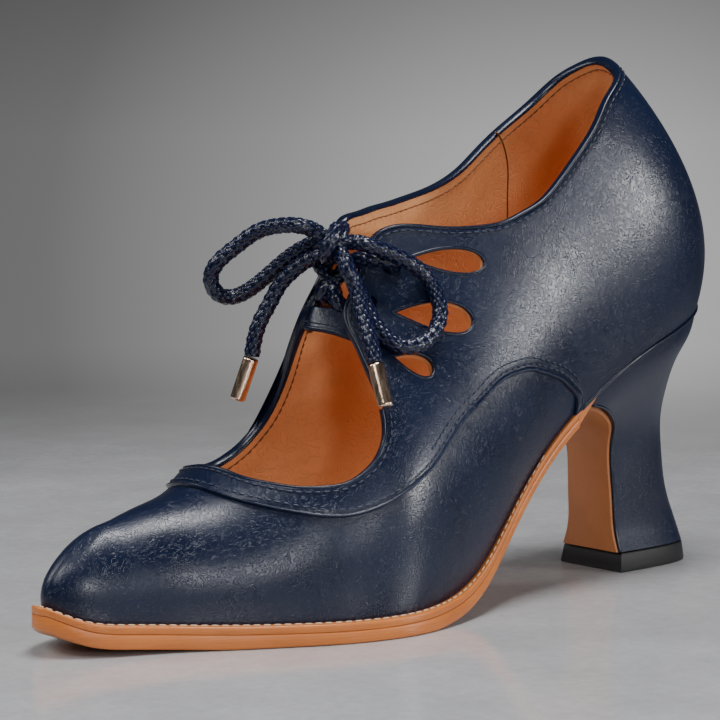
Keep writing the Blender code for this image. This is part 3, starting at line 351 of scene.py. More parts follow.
def rim_line(side, places, distance):
    """Stations and climbs of the edge of collar and throat on one side."""
    rows = rim_curve(places)
    column = 1 if side == "outer" else 3
    stations, climbs = inward(side, rows[:, column], rows[:, column + 1], distance)
    stations[0], climbs[-1] = 0.0, 1.0
    return stations, climbs


# Making meshes

def new_piece(name, points, faces, looks, smooth=True, shift=True):
    """Mesh piece in the frame of the solids."""
    mesh = bpy.data.meshes.new(name)
    points = np.asarray(points, float)
    if shift:
        points = points + PLACE
    mesh.from_pydata(points.tolist(), [], [tuple(face) for face in faces])
    shape = bmesh.new()
    shape.from_mesh(mesh)
    bmesh.ops.remove_doubles(shape, verts=shape.verts, dist=2e-6)
    bmesh.ops.recalc_face_normals(shape, faces=shape.faces)
    if shape.calc_volume(signed=True) < 0:
        bmesh.ops.reverse_faces(shape, faces=shape.faces)
    shape.to_mesh(mesh)
    shape.free()
    piece = bpy.data.objects.new(name, mesh)
    bpy.context.scene.collection.objects.link(piece)
    for look in looks:
        mesh.materials.append(look)
    if smooth:
        mesh.shade_smooth()
        mesh.set_sharp_from_angle(angle=np.radians(50))
    return piece


def dressed(piece, slot, *nodes):
    """Give a piece its body and hide the solids that it stands for; its finish, slot, is not used."""
    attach(piece, "root")
    if nodes:
        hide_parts(*nodes)
    return piece


def apply_modifiers(piece):
    """Make what the modifiers do part of the mesh."""
    bpy.ops.object.select_all(action="DESELECT")
    piece.select_set(True)
    bpy.context.view_layer.objects.active = piece
    for modifier in list(piece.modifiers):
        bpy.ops.object.modifier_apply(modifier=modifier.name)
    piece.select_set(False)


def skin(rings, count, closed=True):
    """Faces between rings of points."""
    faces = []
    for r in range(rings - 1):
        for i in range(count if closed else count - 1):
            j = (i + 1) % count
            faces.append((r * count + i, r * count + j, (r + 1) * count + j, (r + 1) * count + i))
    return faces


def capped(rings, count):
    """Faces between rings of points, and over the first and the last ring."""
    end = (rings - 1) * count
    return skin(rings, count) + [tuple(range(count)), tuple(range(end, end + count))]


def ladder(first, count, back_point):
    """Flat end over a ring that is alike on both sides, in strips from side to side."""
    faces = []
    low, high = 0, count - 1
    if back_point:
        faces.append((first, first + 1, first + count - 1))
        low = 1
    while high - low > 2:
        faces.append((first + low, first + low + 1, first + high - 1, first + high))
        low, high = low + 1, high - 1
    if high - low == 2:
        faces.append((first + low, first + low + 1, first + high))
    return faces


def stack(name, rings, looks, back_point):
    """Solid piece from rings that lie over each other."""
    count = len(rings[0])
    faces = skin(len(rings), count) + ladder(0, count, back_point)
    faces += ladder((len(rings) - 1) * count, count, back_point)
    return new_piece(name, np.concatenate(rings), faces, looks)


def panel(name, lower, upper, rows, outer_lift, inner_lift, looks):
    """Closed leather panel between two lines of (station, climb) that share their columns.

    outer_lift and inner_lift give the lift for each row, from lower to upper line.
    """
    rows = np.asarray(rows, float)
    shape = (len(lower), len(rows))
    stations = lower[:, :1] + (upper[:, :1] - lower[:, :1]) * rows
    climbs = np.clip(lower[:, 1:] + (upper[:, 1:] - lower[:, 1:]) * rows, -0.02, 1)
    out = surface(stations, climbs, np.broadcast_to(outer_lift, shape))
    inn = surface(stations, climbs, np.broadcast_to(inner_lift, shape))
    count = len(lower) * len(rows)
    faces = []
    wide = len(rows)
    for i in range(len(lower) - 1):
        for r in range(wide - 1):
            a, b, c, d = i * wide + r, (i + 1) * wide + r, (i + 1) * wide + r + 1, i * wide + r + 1
            faces.append((a, b, c, d))
            faces.append((count + d, count + c, count + b, count + a))
    border = [i * wide for i in range(len(lower))]
    border += [(len(lower) - 1) * wide + r for r in range(1, wide)]
    border += [i * wide + wide - 1 for i in range(len(lower) - 2, -1, -1)]
    border += [r for r in range(wide - 2, 0, -1)]
    for a, b in zip(border, border[1:] + border[:1]):
        faces.append((b, a, count + a, count + b))
    return new_piece(name, np.concatenate([out.reshape(-1, 3), inn.reshape(-1, 3)]), faces, looks)


def even(points, step):
    """The same line with its points an even distance apart."""
    points = np.asarray(points, float)
    lengths = marks_along(points)
    marks = np.linspace(0, lengths[-1], max(2, int(round(lengths[-1] / step)) + 1))
    return np.stack([np.interp(marks, lengths, points[:, k]) for k in range(points.shape[1])], 1)


def frames(points, closed=False):
    """Directions along, beside and above each point of a line, with no twist."""
    points = np.asarray(points, float)
    if closed:
        run = np.roll(points, -1, 0) - np.roll(points, 1, 0)
    else:
        run = np.gradient(points, axis=0)
    run = unit(run)
    side = np.cross(run[0], (0.0, 0.0, 1.0))
    sides = []
    for ahead in run:
        side = side - ahead * np.dot(side, ahead)
        side = side / np.linalg.norm(side)
        sides.append(side)
    sides = np.array(sides)
    return run, sides, np.cross(run, sides)


def rope(name, points, radius, sides, looks, closed=False, relief=None, shift=True):
    """Tube on a line, with a UV map: turns round the cord, and metres along it."""
    points = np.asarray(points, float)
    run, side, up = frames(points, closed)
    lengths = marks_along(points)
    turns = 2 * np.pi * np.arange(sides) / sides
    radius = np.broadcast_to(np.asarray(radius, float), (len(points),))
    bulge = np.zeros((len(points), sides)) if relief is None else relief(turns[None, :], lengths[:, None])
    size = radius[:, None] + bulge
    rings = (points[:, None] + size[..., None] * (side[:, None] * np.cos(turns)[None, :, None]
                                                  + up[:, None] * np.sin(turns)[None, :, None]))
    count = len(points)
    verts = rings.reshape(-1, 3)
    faces = skin(count, sides)
    if closed:
        last = (count - 1) * sides
        faces += [(last + i, last + (i + 1) % sides, (i + 1) % sides, i) for i in range(sides)]
    else:
        first, end = len(verts), len(verts) + 1
        verts = np.concatenate([verts, points[:1], points[-1:]])
        faces += [(first, (i + 1) % sides, i) for i in range(sides)]
        last = (count - 1) * sides
        faces += [(end, last + i, last + (i + 1) % sides) for i in range(sides)]
    mesh = bpy.data.meshes.new(name)
    mesh.from_pydata((verts + (PLACE if shift else 0)).tolist(), [], faces)
    layer = mesh.uv_layers.new(name="along")
    for polygon in mesh.polygons:
        marks = [(v % sides, v // sides) for v in polygon.vertices]
        wraps = any(m[0] == 0 for m in marks) and any(m[0] == sides - 1 for m in marks)
        for loop, (turn, ring) in zip(polygon.loop_indices, marks):
            u = (turn + (sides if wraps and turn < sides / 2 else 0)) / sides
            layer.data[loop].uv = (u, lengths[min(ring, count - 1)])
    for look in looks:
        mesh.materials.append(look)
    mesh.shade_smooth()
    piece = bpy.data.objects.new(name, mesh)
    bpy.context.scene.collection.objects.link(piece)
    return piece


def bead(name, points, normals, wide, thick, sides, looks, closed=False):
    """Strip with an oval section on a line: wide across the leather, thick through it."""
    points, normals = np.asarray(points, float), np.asarray(normals, float)
    if closed:
        run = np.roll(points, -1, 0) - np.roll(points, 1, 0)
    else:
        run = np.gradient(points, axis=0)
    across = np.cross(normals, run)
    across = unit(across)
    up = np.cross(run, across)
    up = unit(up)
    turns = 2 * np.pi * np.arange(sides) / sides
    rings = (points[:, None] + across[:, None] * np.cos(turns)[None, :, None] * wide / 2
             + up[:, None] * np.sin(turns)[None, :, None] * thick / 2)
    count = len(points)
    last = (count - 1) * sides
    faces = skin(count, sides)
    if closed:
        faces += [(last + i, last + (i + 1) % sides, (i + 1) % sides, i) for i in range(sides)]
    else:
        faces += [tuple(range(sides)), tuple(range(last, last + sides))]
    return new_piece(name, rings.reshape(-1, 3), faces, looks)


def softened(values, reach):
    """Running mean of the rows of a closed line."""
    total = np.array(values, float)
    for step in range(1, reach + 1):
        for sign in (-1, 1):
            total = total + np.roll(values, sign * step, 0)
    return total / (2 * reach + 1)


def stitches(name, points, normals, length, width, pitch, look, sink=0.3, slant=0.0):
    """Row of sewn stitches on a line, each a flattened grain of thread."""
    lengths = marks_along(points)
    marks = np.linspace(0, lengths[-1], int(lengths[-1] / pitch) + 1)
    place, normal = [np.stack([np.interp(marks, lengths, row[:, k]) for k in range(3)], 1)
                     for row in (points, normals)]
    normal = unit(normal)
    run = np.gradient(place, axis=0)
    run = unit(run)
    beside = np.cross(normal, run)
    run = run * np.cos(slant) + beside * np.sin(slant)
    beside = np.cross(normal, run)
    around_turns = 2 * np.pi * np.arange(6) / 6
    rings = [(-0.5, 0.35), (-0.32, 0.9), (0.0, 1.0), (0.32, 0.9), (0.5, 0.35)]
    shape = [(x * length, np.cos(t) * r * width / 2, np.sin(t) * r * width / 2)
             for x, r in rings for t in around_turns]
    shape = np.array(shape)
    faces = capped(len(rings), 6)
    verts = (place[:, None] + run[:, None] * shape[None, :, :1] + beside[:, None] * shape[None, :, 1:2]
             + normal[:, None] * (shape[None, :, 2:] * 0.8 + width * (0.5 - sink)))
    all_faces = []
    for i in range(len(place)):
        all_faces += [tuple(v + 30 * i for v in face) for face in faces]
    mesh = bpy.data.meshes.new(name)
    mesh.from_pydata((verts.reshape(-1, 3) + PLACE).tolist(), [], all_faces)
    mesh.materials.append(look)
    mesh.shade_smooth()
    piece = bpy.data.objects.new(name, mesh)
    bpy.context.scene.collection.objects.link(piece)
    shape = bmesh.new()
    shape.from_mesh(mesh)
    bmesh.ops.recalc_face_normals(shape, faces=shape.faces)
    shape.to_mesh(mesh)
    shape.free()
    return piece


def both_sides(line_of_side, lift, inside=False):
    """One line from the back, round the front, to the back: points and normals on the leather."""
    points, normals = [], []
    for side in ("outer", "inner"):
        stations, climbs = line_of_side(side)
        keep = climbs <= 1.0
        real = on_side(side, stations[keep])
        climb = np.clip(climbs[keep], 0, 0.999)
        p = surface(real, climb, np.full(len(real), lift))
        n = last_normal(real, climb) * (-1 if inside else 1)
        points.append(p if side == "outer" else p[::-1])
        normals.append(n if side == "outer" else n[::-1])
    return np.concatenate(points), np.concatenate(normals)


# Materials

def nodes_of(name):
    """New material with its node tree and shader."""
    look = bpy.data.materials.new(name)
    look.use_nodes = True
    tree = look.node_tree
    return look, tree, tree.nodes["Principled BSDF"]


def link(tree, out, into):
    """Join two sockets."""
    tree.links.new(out, into)


def coordinates(tree, scale=(1, 1, 1), uv=False):
    """Place on the piece in metres, or its UV map."""
    source = tree.nodes.new("ShaderNodeTexCoord")
    mapping = tree.nodes.new("ShaderNodeMapping")
    mapping.inputs["Scale"].default_value = scale
    link(tree, source.outputs["UV" if uv else "Object"], mapping.inputs["Vector"])
    return mapping.outputs["Vector"]


def noise(tree, vector, scale, detail=3.0, roughness=0.5, distortion=0.0):
    """Cloudy noise."""
    node = tree.nodes.new("ShaderNodeTexNoise")
    node.inputs["Scale"].default_value = scale
    node.inputs["Detail"].default_value = detail
    node.inputs["Roughness"].default_value = roughness
    node.inputs["Distortion"].default_value = distortion
    link(tree, vector, node.inputs["Vector"])
    return node


def ramp(tree, factor, stops):
    """Colours or greys along a factor."""
    node = tree.nodes.new("ShaderNodeValToRGB")
    node.color_ramp.elements[0].position, node.color_ramp.elements[0].color = stops[0][0], stops[0][1]
    node.color_ramp.elements[1].position, node.color_ramp.elements[1].color = stops[-1][0], stops[-1][1]
    for position, colour in stops[1:-1]:
        node.color_ramp.elements.new(position).color = colour
    link(tree, factor, node.inputs["Fac"])
    return node.outputs["Color"]


def graded(tree, shader, socket, field, low, high):
    """Let an input of the shader follow a noise, from a low to a high value."""
    link(tree, ramp(tree, field.outputs["Fac"], [(0.3, low), (0.7, high)]), shader.inputs[socket])


def bump(tree, height, strength, distance, below=None):
    """Relief over the relief below it."""
    node = tree.nodes.new("ShaderNodeBump")
    node.inputs["Strength"].default_value = strength
    node.inputs["Distance"].default_value = distance
    link(tree, height, node.inputs["Height"])
    if below is not None:
        link(tree, below, node.inputs["Normal"])
    return node.outputs["Normal"]


def maths(tree, operation, a, b=0.0):
    """Result of an operation on numbers or outputs of nodes."""
    node = tree.nodes.new("ShaderNodeMath")
    node.operation = operation
    for socket, value in zip(node.inputs, (a, b)):
        if isinstance(value, (int, float)):
            socket.default_value = value
        else:
            link(tree, value, socket)
    return node.outputs[0]


def grey(value):
    """Colour of equal parts."""
    return (value, value, value, 1)


def swirls(tree, vector, size, turns, where_scale):
    """Fine winding grooves, as in embossed leather: 1 on the leather, 0 in a groove."""
    field = noise(tree, vector, size, 1.5, 0.45, 0.3)
    wave = maths(tree, "SINE", maths(tree, "MULTIPLY", field.outputs["Fac"], turns))
    groove = ramp(tree, maths(tree, "ABSOLUTE", wave),
                  [(0.0, grey(0.0)), (0.22, grey(0.75)), (0.6, grey(1.0))])
    where = ramp(tree, noise(tree, vector, where_scale, 2).outputs["Fac"],
                 [(0.36, grey(0.6)), (0.64, grey(1.0))])
    hollow = maths(tree, "MULTIPLY", maths(tree, "SUBTRACT", 1.0, groove), where)
    return maths(tree, "SUBTRACT", 1.0, hollow)


def navy_leather(name, depth=1.0, shade=1.0, gloss=0.28):
    """Semi-gloss calf with a fine winding grain that shows where light grazes it."""
    look, tree, shader = nodes_of(name)
    vector = coordinates(tree)
    broad = noise(tree, vector, 38, 3)
    graded(tree, shader, "Base Color", broad, (0.0030 * shade, 0.0072 * shade, 0.0265 * shade, 1),
           (0.0046 * shade, 0.0108 * shade, 0.0375 * shade, 1))
    graded(tree, shader, "Roughness", broad, grey(gloss - 0.04), grey(gloss + 0.05))
    pores = noise(tree, vector, 2400, 2)
    low = bump(tree, pores.outputs["Fac"], 0.10 * depth, 0.0002)
    middle = bump(tree, noise(tree, vector, 620, 2).outputs["Fac"], 0.10 * depth, 0.0003, low)
    grain = swirls(tree, vector, 400, 34, 85)
    link(tree, bump(tree, grain, 0.42 * depth, 0.00014, middle), shader.inputs["Normal"])
    shader.inputs["Specular IOR Level"].default_value = 0.46
    return look


def tan_leather(name, light, dark, rough=0.5, grain=1.0):
    """Vegetable tanned leather with cloudy colour, winding grain and fine pores."""
    look, tree, shader = nodes_of(name)
    vector = coordinates(tree)
    cloud = noise(tree, vector, 60, 4, 0.6)
    graded(tree, shader, "Base Color", cloud, (*dark, 1), (*light, 1))
    pores = noise(tree, vector, 1900, 3, 0.6)
    low = bump(tree, pores.outputs["Fac"], 0.22 * grain, 0.00015)
    winding = swirls(tree, vector, 200, 26, 60)
    link(tree, bump(tree, winding, 0.80 * grain, 0.0002, low), shader.inputs["Normal"])
    graded(tree, shader, "Roughness", cloud, grey(rough), grey(rough + 0.1))
    return look


def sole_edge_leather(name):
    """Burnished edge of layered leather, its layers drawn along the height."""
    look, tree, shader = nodes_of(name)
    vector = coordinates(tree, (60, 60, 2400))
    layers = noise(tree, vector, 1.0, 3, 0.6)
    cloud = noise(tree, coordinates(tree), 70, 3)
    base = ramp(tree, cloud.outputs["Fac"], [(0.3, (0.58, 0.165, 0.032, 1)), (0.7, (0.68, 0.210, 0.044, 1))])
    mixed = tree.nodes.new("ShaderNodeMix")
    mixed.data_type = "RGBA"
    mixed.blend_type = "MULTIPLY"
    mixed.inputs["Factor"].default_value = 0.3
    link(tree, base, mixed.inputs["A"])
    link(tree, ramp(tree, layers.outputs["Fac"], [(0.35, grey(0.62)), (0.6, grey(1.0))]), mixed.inputs["B"])
    link(tree, mixed.outputs["Result"], shader.inputs["Base Color"])
    link(tree, bump(tree, layers.outputs["Fac"], 0.25, 0.0002), shader.inputs["Normal"])
    shader.inputs["Roughness"].default_value = 0.34
    return look


def braided_cord(name):
    """Plaited glossy thread; the plait itself is in the mesh, and painted shade darkens the grooves between
    its yarns.
    """
    look, tree, shader = nodes_of(name)
    uv = coordinates(tree, (1, 1, 1), uv=True)
    split = tree.nodes.new("ShaderNodeSeparateXYZ")
    link(tree, uv, split.inputs[0])
    around_cord = maths(tree, "MULTIPLY", split.outputs["X"], 8 * 2 * np.pi)
    along = maths(tree, "MULTIPLY", split.outputs["Y"], 2 * np.pi / PLAIT)
    one, two = [maths(tree, "SINE", maths(tree, "MULTIPLY", maths(tree, way, around_cord, along), 0.5))
                for way in ("ADD", "SUBTRACT")]
    cell = maths(tree, "ABSOLUTE", maths(tree, "MULTIPLY", one, two))
    fibre = noise(tree, coordinates(tree, (90, 2600, 1), uv=True), 1.0, 2)
    # painted shade: near-black in the grooves between the yarns, lighter on their raised crossings
    link(tree, ramp(tree, cell, [(0.02, (0.0010, 0.0015, 0.006, 1)), (0.45, (0.0065, 0.0110, 0.040, 1)),
                                 (1.0, (0.011, 0.017, 0.060, 1))]), shader.inputs["Base Color"])
    link(tree, bump(tree, fibre.outputs["Fac"], 0.06, 0.0001), shader.inputs["Normal"])
    shader.inputs["Roughness"].default_value = 0.26
    shader.inputs["Specular IOR Level"].default_value = 0.5
    return look


def thread(name, colour, rough=0.6):
    """Spun thread."""
    look, tree, shader = nodes_of(name)
    fibre = noise(tree, coordinates(tree), 5200, 2)
    graded(tree, shader, "Base Color", fibre, (*[part * 0.7 for part in colour], 1), (*colour, 1))
    link(tree, bump(tree, fibre.outputs["Fac"], 0.4, 0.0001), shader.inputs["Normal"])
    shader.inputs["Roughness"].default_value = rough
    return look


def gilt_metal(name):
    """Pale gilt metal, a little smeared."""
    look, tree, shader = nodes_of(name)
    smear = noise(tree, coordinates(tree, (700, 700, 60)), 1.0, 3)
    graded(tree, shader, "Base Color", smear, (0.74, 0.52, 0.37, 1), (0.90, 0.67, 0.49, 1))
    graded(tree, shader, "Roughness", smear, grey(0.16), grey(0.27))
    link(tree, bump(tree, smear.outputs["Fac"], 0.05, 0.0001), shader.inputs["Normal"])
    shader.inputs["Metallic"].default_value = 1.0
    return look


def black_rubber(name):
    """Black rubber with a fine grain."""
    look, tree, shader = nodes_of(name)
    grain = noise(tree, coordinates(tree), 1500, 4, 0.7)
    graded(tree, shader, "Base Color", grain, (0.006, 0.006, 0.007, 1), (0.015, 0.015, 0.016, 1))
    link(tree, bump(tree, grain.outputs["Fac"], 0.25, 0.0002), shader.inputs["Normal"])
    graded(tree, shader, "Roughness", grain, grey(0.42), grey(0.6))
    return look


NAVY = navy_leather("navy calf")
NAVY_EDGE = navy_leather("navy rolled edge", depth=0.35, shade=0.80, gloss=0.25)
NAVY_HEEL = navy_leather("navy heel cover", depth=0.8, gloss=0.36)
LINING = tan_leather("tan lining", (0.93, 0.465, 0.205), (0.80, 0.365, 0.145), 0.46)
INSOLE = tan_leather("tan insole", (0.72, 0.330, 0.135), (0.62, 0.265, 0.098), 0.45)
WELT = sole_edge_leather("tan welt")
SOLE = tan_leather("tan outsole", (0.60, 0.235, 0.075), (0.48, 0.170, 0.048), 0.42, 0.5)
BREAST = tan_leather("tan breast cover", (0.52, 0.200, 0.070), (0.44, 0.155, 0.050), 0.42, 0.4)
CORD = braided_cord("navy plaited cord")
METAL = gilt_metal("pale gilt metal")
RUBBER = black_rubber("black top piece")
NAVY_THREAD = thread("navy thread", (0.034, 0.046, 0.092), 0.4)
# Near-black and dark brown matte threads: painted shade, laid as thin dark lines in needle holes, grooves and
# seams
NAVY_SHADE = thread("navy needle hole shade", (0.0010, 0.0015, 0.0040), 0.9)
BROWN_SHADE = thread("brown needle hole shade", (0.16, 0.052, 0.014), 0.7)
BROWN_THREAD = thread("brown thread", (0.26, 0.085, 0.026))
CREAM_THREAD = thread("cream thread", (0.78, 0.55, 0.34))


# Lace: the free cords come first

def plait(turns, lengths):
    """Raised diamonds where the plait's yarns cross over."""
    one = np.sin((8 * turns + lengths * 2 * np.pi / PLAIT) / 2)
    two = np.sin((8 * turns - lengths * 2 * np.pi / PLAIT) / 2)
    return 0.00046 * np.abs(one * two) ** 0.8 - 0.00010


def smooth_route(points, step):
    """Smooth line through the points of a route."""
    points = np.array(points)
    lengths = marks_along(points)
    return even(open_curve(lengths, points)(np.linspace(0, lengths[-1], 400)), step)


def free_of_knot(points):
    """The part of a cord that is clear of the knot."""
    level = np.linalg.norm((points - np.array(KNOT)) / (np.array(KNOT_SIZE) / 2), axis=1)
    outside = np.flatnonzero(level > KNOT_CLEAR)
    return points[outside[0]:outside[-1] + 1]


STUBS = []                # where the free cords leave the knot


def lace_rope(name, route, far_end):
    """Free cord of the bow."""
    points = free_of_knot(smooth_route(route, 0.0002))
    points = even(points, 0.0003)
    STUBS.append(points[0])
    if far_end == "knot":
        STUBS.append(points[-1])
    piece = rope(name, points, LACE / 2, 32, [CORD], relief=plait)
    dressed(piece, "lace_cord", name.replace("_plaited", ""))
    path = points[::4] if (len(points) - 1) % 4 == 0 else np.concatenate([points[::4], points[-1:]])
    path = path + PLACE
    return points


def aglet(side, tip, base):
    """Rolled metal tube on the end of the lace, its mouth rounded and its seam closed."""
    base = np.array(base)
    ahead = np.array(tip) - base
    ahead = ahead / np.linalg.norm(ahead)
    start = base + ahead * 2 * GAP
    steps = [(0.0, 0.86), (0.0002, 0.97), (0.0006, 1.0), (0.0012, 0.985), (0.0018, 1.0), (0.004, 1.0),
             (0.0085, 1.0), (0.0108, 1.0), (0.0114, 0.985), (0.0119, 1.0), (0.0122, 0.98), (0.0125, 0.90)]
    points = np.array([start + ahead * step for step, _ in steps])
    piece = rope("aglet_%s_rolled" % side, points, [AGLET / 2 * share for _, share in steps], 40, [METAL])
    return dressed(piece, "aglet_metal", "aglet_" + side)


lace_rope("lace_loop_outer_plaited", LOOP_OUTER, "knot")
lace_rope("lace_loop_inner_plaited", LOOP_INNER, "knot")
for end_side, end_route in (("outer", END_OUTER), ("inner", END_INNER)):
    last = free_of_knot(smooth_route(end_route, 0.0002))[-1]
    tip_piece = aglet(end_side, AGLET_TIPS[end_side], last)
    lace_rope("lace_end_%s_plaited" % end_side, end_route, "fitting")


def knot():
    """Cord wrapped round itself: two turns side by side over the front, one behind, and a core."""
    centre = np.array(KNOT)
    turns = np.linspace(0, 2 * np.pi, 90, endpoint=False)
    pieces = []
    for name, tilt, swing, wide, tall, shift in (
            ("lace_knot_front_turn", 0.38, 0.10, 0.0034, 0.0043, (-0.0016, -0.0004, 0.0003)),
            ("lace_knot_second_turn", 0.30, 0.05, 0.0034, 0.0042, (0.0017, 0.0006, 0.0002)),
            ("lace_knot_cross_turn", 1.45, 0.55, 0.0027, 0.0042, (0.0002, 0.0014, -0.0002))):
        out = np.array([-np.sin(0.7156 + swing), -np.cos(0.7156 + swing), 0.1])
        out = out / np.linalg.norm(out)
        up = np.array([0, 0, 1.0]) - out * out[2]
        up = up / np.linalg.norm(up)
        beside = np.cross(up, out)
        up, beside = up * np.cos(tilt) + beside * np.sin(tilt), beside * np.cos(tilt) - up * np.sin(tilt)
        line = (centre + np.array(shift) + np.outer(np.cos(turns), out) * wide
                + np.outer(np.sin(turns), up) * tall)
        piece = rope(name, line, 0.0019, 28, [CORD], closed=True, relief=plait)
        pieces.append(piece)
    for number, start in enumerate(STUBS):
        line = even(np.array([start + (start - centre) * 0.06, centre * 0.45 + start * 0.55, centre]), 0.0003)
        pieces.append(rope("lace_knot_stub_%d" % number, line, 0.0019, 28, [CORD], relief=plait))
    for piece in pieces:
        dressed(piece, "lace_cord", "lace_knot")


knot()


def crossing(side):
    """Lace from the other side's lower eyelet, over the throat and down into its own upper eyelet."""
    eyelet = [row for row in EYELETS if row[0] == side][0]
    other = [row for row in EYELETS if row[0] != side][1]
    real, start = on_side(side, eyelet[1]), on_side(other[0], other[1])
    top = surface(real, eyelet[2], np.array(LACE_LIFT - 0.0006))
    turn = top + (top - np.array(CROSSING[side][-1])) * 0.10
    route = [surface(start, other[2], np.array(lift)) for lift in (0.0004, -0.0022, -0.0048)]
    route += CROSSING[side] + [turn * 0.55 + top * 0.45]
    route += [surface(real, eyelet[2], np.array(lift)) for lift in (-0.0006, -0.0026)]
    points = smooth_route([tuple(place) for place in route], 0.0003)
    piece = rope("lace_crossing_%s_plaited" % side, points, LACE / 2 * 1.04, 32, [CORD], relief=plait)
    dressed(piece, "lace_cord", "lace_crossings")


crossing("outer")
crossing("inner")


# Upper

COLUMNS = 230
VAMP_COLUMNS = 150


def quarter_lines(side):
    """Lower and upper line of the quarter, with their columns matched."""
    places = np.linspace(0, len(RIM) - 1, COLUMNS)
    feet = rim_curve(places)[:, 0]
    stations, climbs = rim_line(side, places, BEAD / 2)
    edge = edge_curve(np.linspace(0, 1, 400))
    behind = feet < QUARTER_BACK
    marks = marks_along(last_point(edge[:, 0], edge[:, 1]))
    rim_marks = marks_along(last_point(feet, 0 * feet))
    start = np.interp(QUARTER_BACK, feet, rim_marks)
    along = np.clip((rim_marks - start) / (rim_marks[-1] - start), 0, 1) * marks[-1]
    low_station = np.where(behind, feet, np.interp(along, marks, edge[:, 0]))
    low_climb = np.where(behind, 0.0, np.interp(along, marks, edge[:, 1]))
    low_climb[-1] = 1.0
    low_station[-1] = QUARTER_FRONT
    lower = np.stack([on_side(side, low_station), low_climb], 1)
    upper = np.stack([on_side(side, stations), climbs], 1)
    return lower, upper


def panel_width(lower, upper):
    """Distance between the two lines of a panel, for each column."""
    reach = last_point(upper[:, 0], upper[:, 1]) - last_point(lower[:, 0], lower[:, 1])
    return np.linalg.norm(reach, axis=1)


def edge_profile(lower, upper, rows, side_full):
    """Lift of the quarter's outside: rolled edge, groove of the seam, then flat."""
    width = panel_width(lower, upper)
    height = rows[None, :] * width[:, None] * 1000
    table = [(0.0, 0.10), (0.1, 0.70), (0.3, 1.12), (0.6, 1.24), (0.95, 1.14), (1.25, 0.84), (1.5, 0.80),
             (2.0, 0.92), (3.0, 1.0)]
    rolled = np.interp(height, [row[0] for row in table], [row[1] for row in table]) / 1000
    dip = 0.00025 * np.clip(1 - (width[:, None] * 1000 - height) / 1.2, 0, 1)
    return np.where(side_full[:, None], OVERLAY, rolled) - dip


def quarter():
    """Quarter and facing of both sides, one piece for each side from the back, with their cut-outs."""
    near = np.array([0.0, 0.1, 0.25, 0.45, 0.7, 1.0, 1.4, 1.9, 2.5, 3.2, 4.0, 5.0]) / 60
    rows = np.concatenate([near, np.linspace(near[-1], 0.97, 38)[1:], [0.98, 0.99, 1.0]])
    lowers, uppers, fulls = [], [], []
    for side in ("outer", "inner"):
        lower, upper = quarter_lines(side)
        full = lower[:, 1] <= 0
        if side == "inner":
            lower, upper, full = lower[::-1], upper[::-1], full[::-1]
            lower[:, 0] = np.where(lower[:, 0] <= 0, 2 * TOE, lower[:, 0])
        lowers.append(lower)
        uppers.append(upper)
        fulls.append(full)
    pieces = []
    for side, lower, upper, full in zip(("outer", "inner"), lowers, uppers, fulls):
        width = panel_width(lower, upper)
        outer_lift = edge_profile(lower, upper, rows, full)
        under = np.interp(rows[None, :] * width[:, None] * 1000, [0, 2.0, 3.0], [0.03, 0.03, -0.30]) / 1000
        inner_lift = np.where(full[:, None], -0.0003, under)
        pieces.append((lower, upper, outer_lift, inner_lift))
    for (lower, upper, outer_lift, inner_lift), side in zip(pieces, ("outer", "inner")):
        piece = panel("quarter_leather_" + side, lower, upper, rows, outer_lift, inner_lift, [NAVY])
        cut_holes(piece, side, NAVY_EDGE)
        dressed(piece, "upper_leather", "upper")


def cut_holes(piece, side, look):
    """Cut the teardrops and eyelets of one side through a panel."""
    cutters = []
    for number, row in enumerate(CUT_OUTS):
        if row[0] == side:
            centre, along, across, normal, outline = teardrop(row, 64)
            cutters.append(cutter("cut_%d" % number, centre, along, across, normal, outline, look))
    for number, row in enumerate(EYELETS):
        if row[0] == side:
            real = on_side(side, row[1])
            along = tangents(real, row[2])[0]
            normal = last_normal(real, row[2])
            along = along / np.linalg.norm(along)
            across = np.cross(normal, along)
            turns = 2 * np.pi * np.arange(32) / 32
            outline = [(np.cos(t) * EYELET / 2, np.sin(t) * EYELET / 2) for t in turns]
            cutters.append(cutter("punch_%d" % number, last_point(real, row[2]), along, across, normal,
                                  outline, look))
    for tool in cutters:
        modifier = piece.modifiers.new("cut", "BOOLEAN")
        modifier.operation = "DIFFERENCE"
        modifier.object = tool
        modifier.material_mode = "TRANSFER"
    apply_modifiers(piece)
    for tool in cutters:
        bpy.data.objects.remove(tool, do_unlink=True)


def teardrop(row, count, grow=0.0):
    """Outline of a cut-out on its own flat plane, with the plane's middle and directions."""
    side, tip, tip_climb, end, end_climb, width = row
    start = last_point(on_side(side, tip), tip_climb)
    stop = last_point(on_side(side, end), end_climb)
    normal = last_normal(on_side(side, (tip + end) / 2), (tip_climb + end_climb) / 2)
    length = np.linalg.norm(stop - start)
    along = (stop - start) / length
    across = np.cross(normal, along)
    across = across / np.linalg.norm(across)
    normal = np.cross(along, across)
    turns = 2 * np.pi * np.arange(count) / count
    outline = [(-np.cos(t) * (length / 2 + grow), np.sin(t) * np.sin(t / 2) / 0.77 * width / 2
                + np.sign(np.sin(t)) * grow * abs(np.sin(t))) for t in turns]
    return (start + stop) / 2, along, across, normal, outline


def cutter(name, centre, along, across, normal, outline, look):
    """Straight tool that cuts an outline through the leather."""
    rings = []
    for lift in (-0.007, 0.007):
        rings.append([centre + along * x + across * y + normal * lift for x, y in outline])
    return new_piece(name, np.concatenate(rings), capped(2, len(outline)), [look], smooth=False)


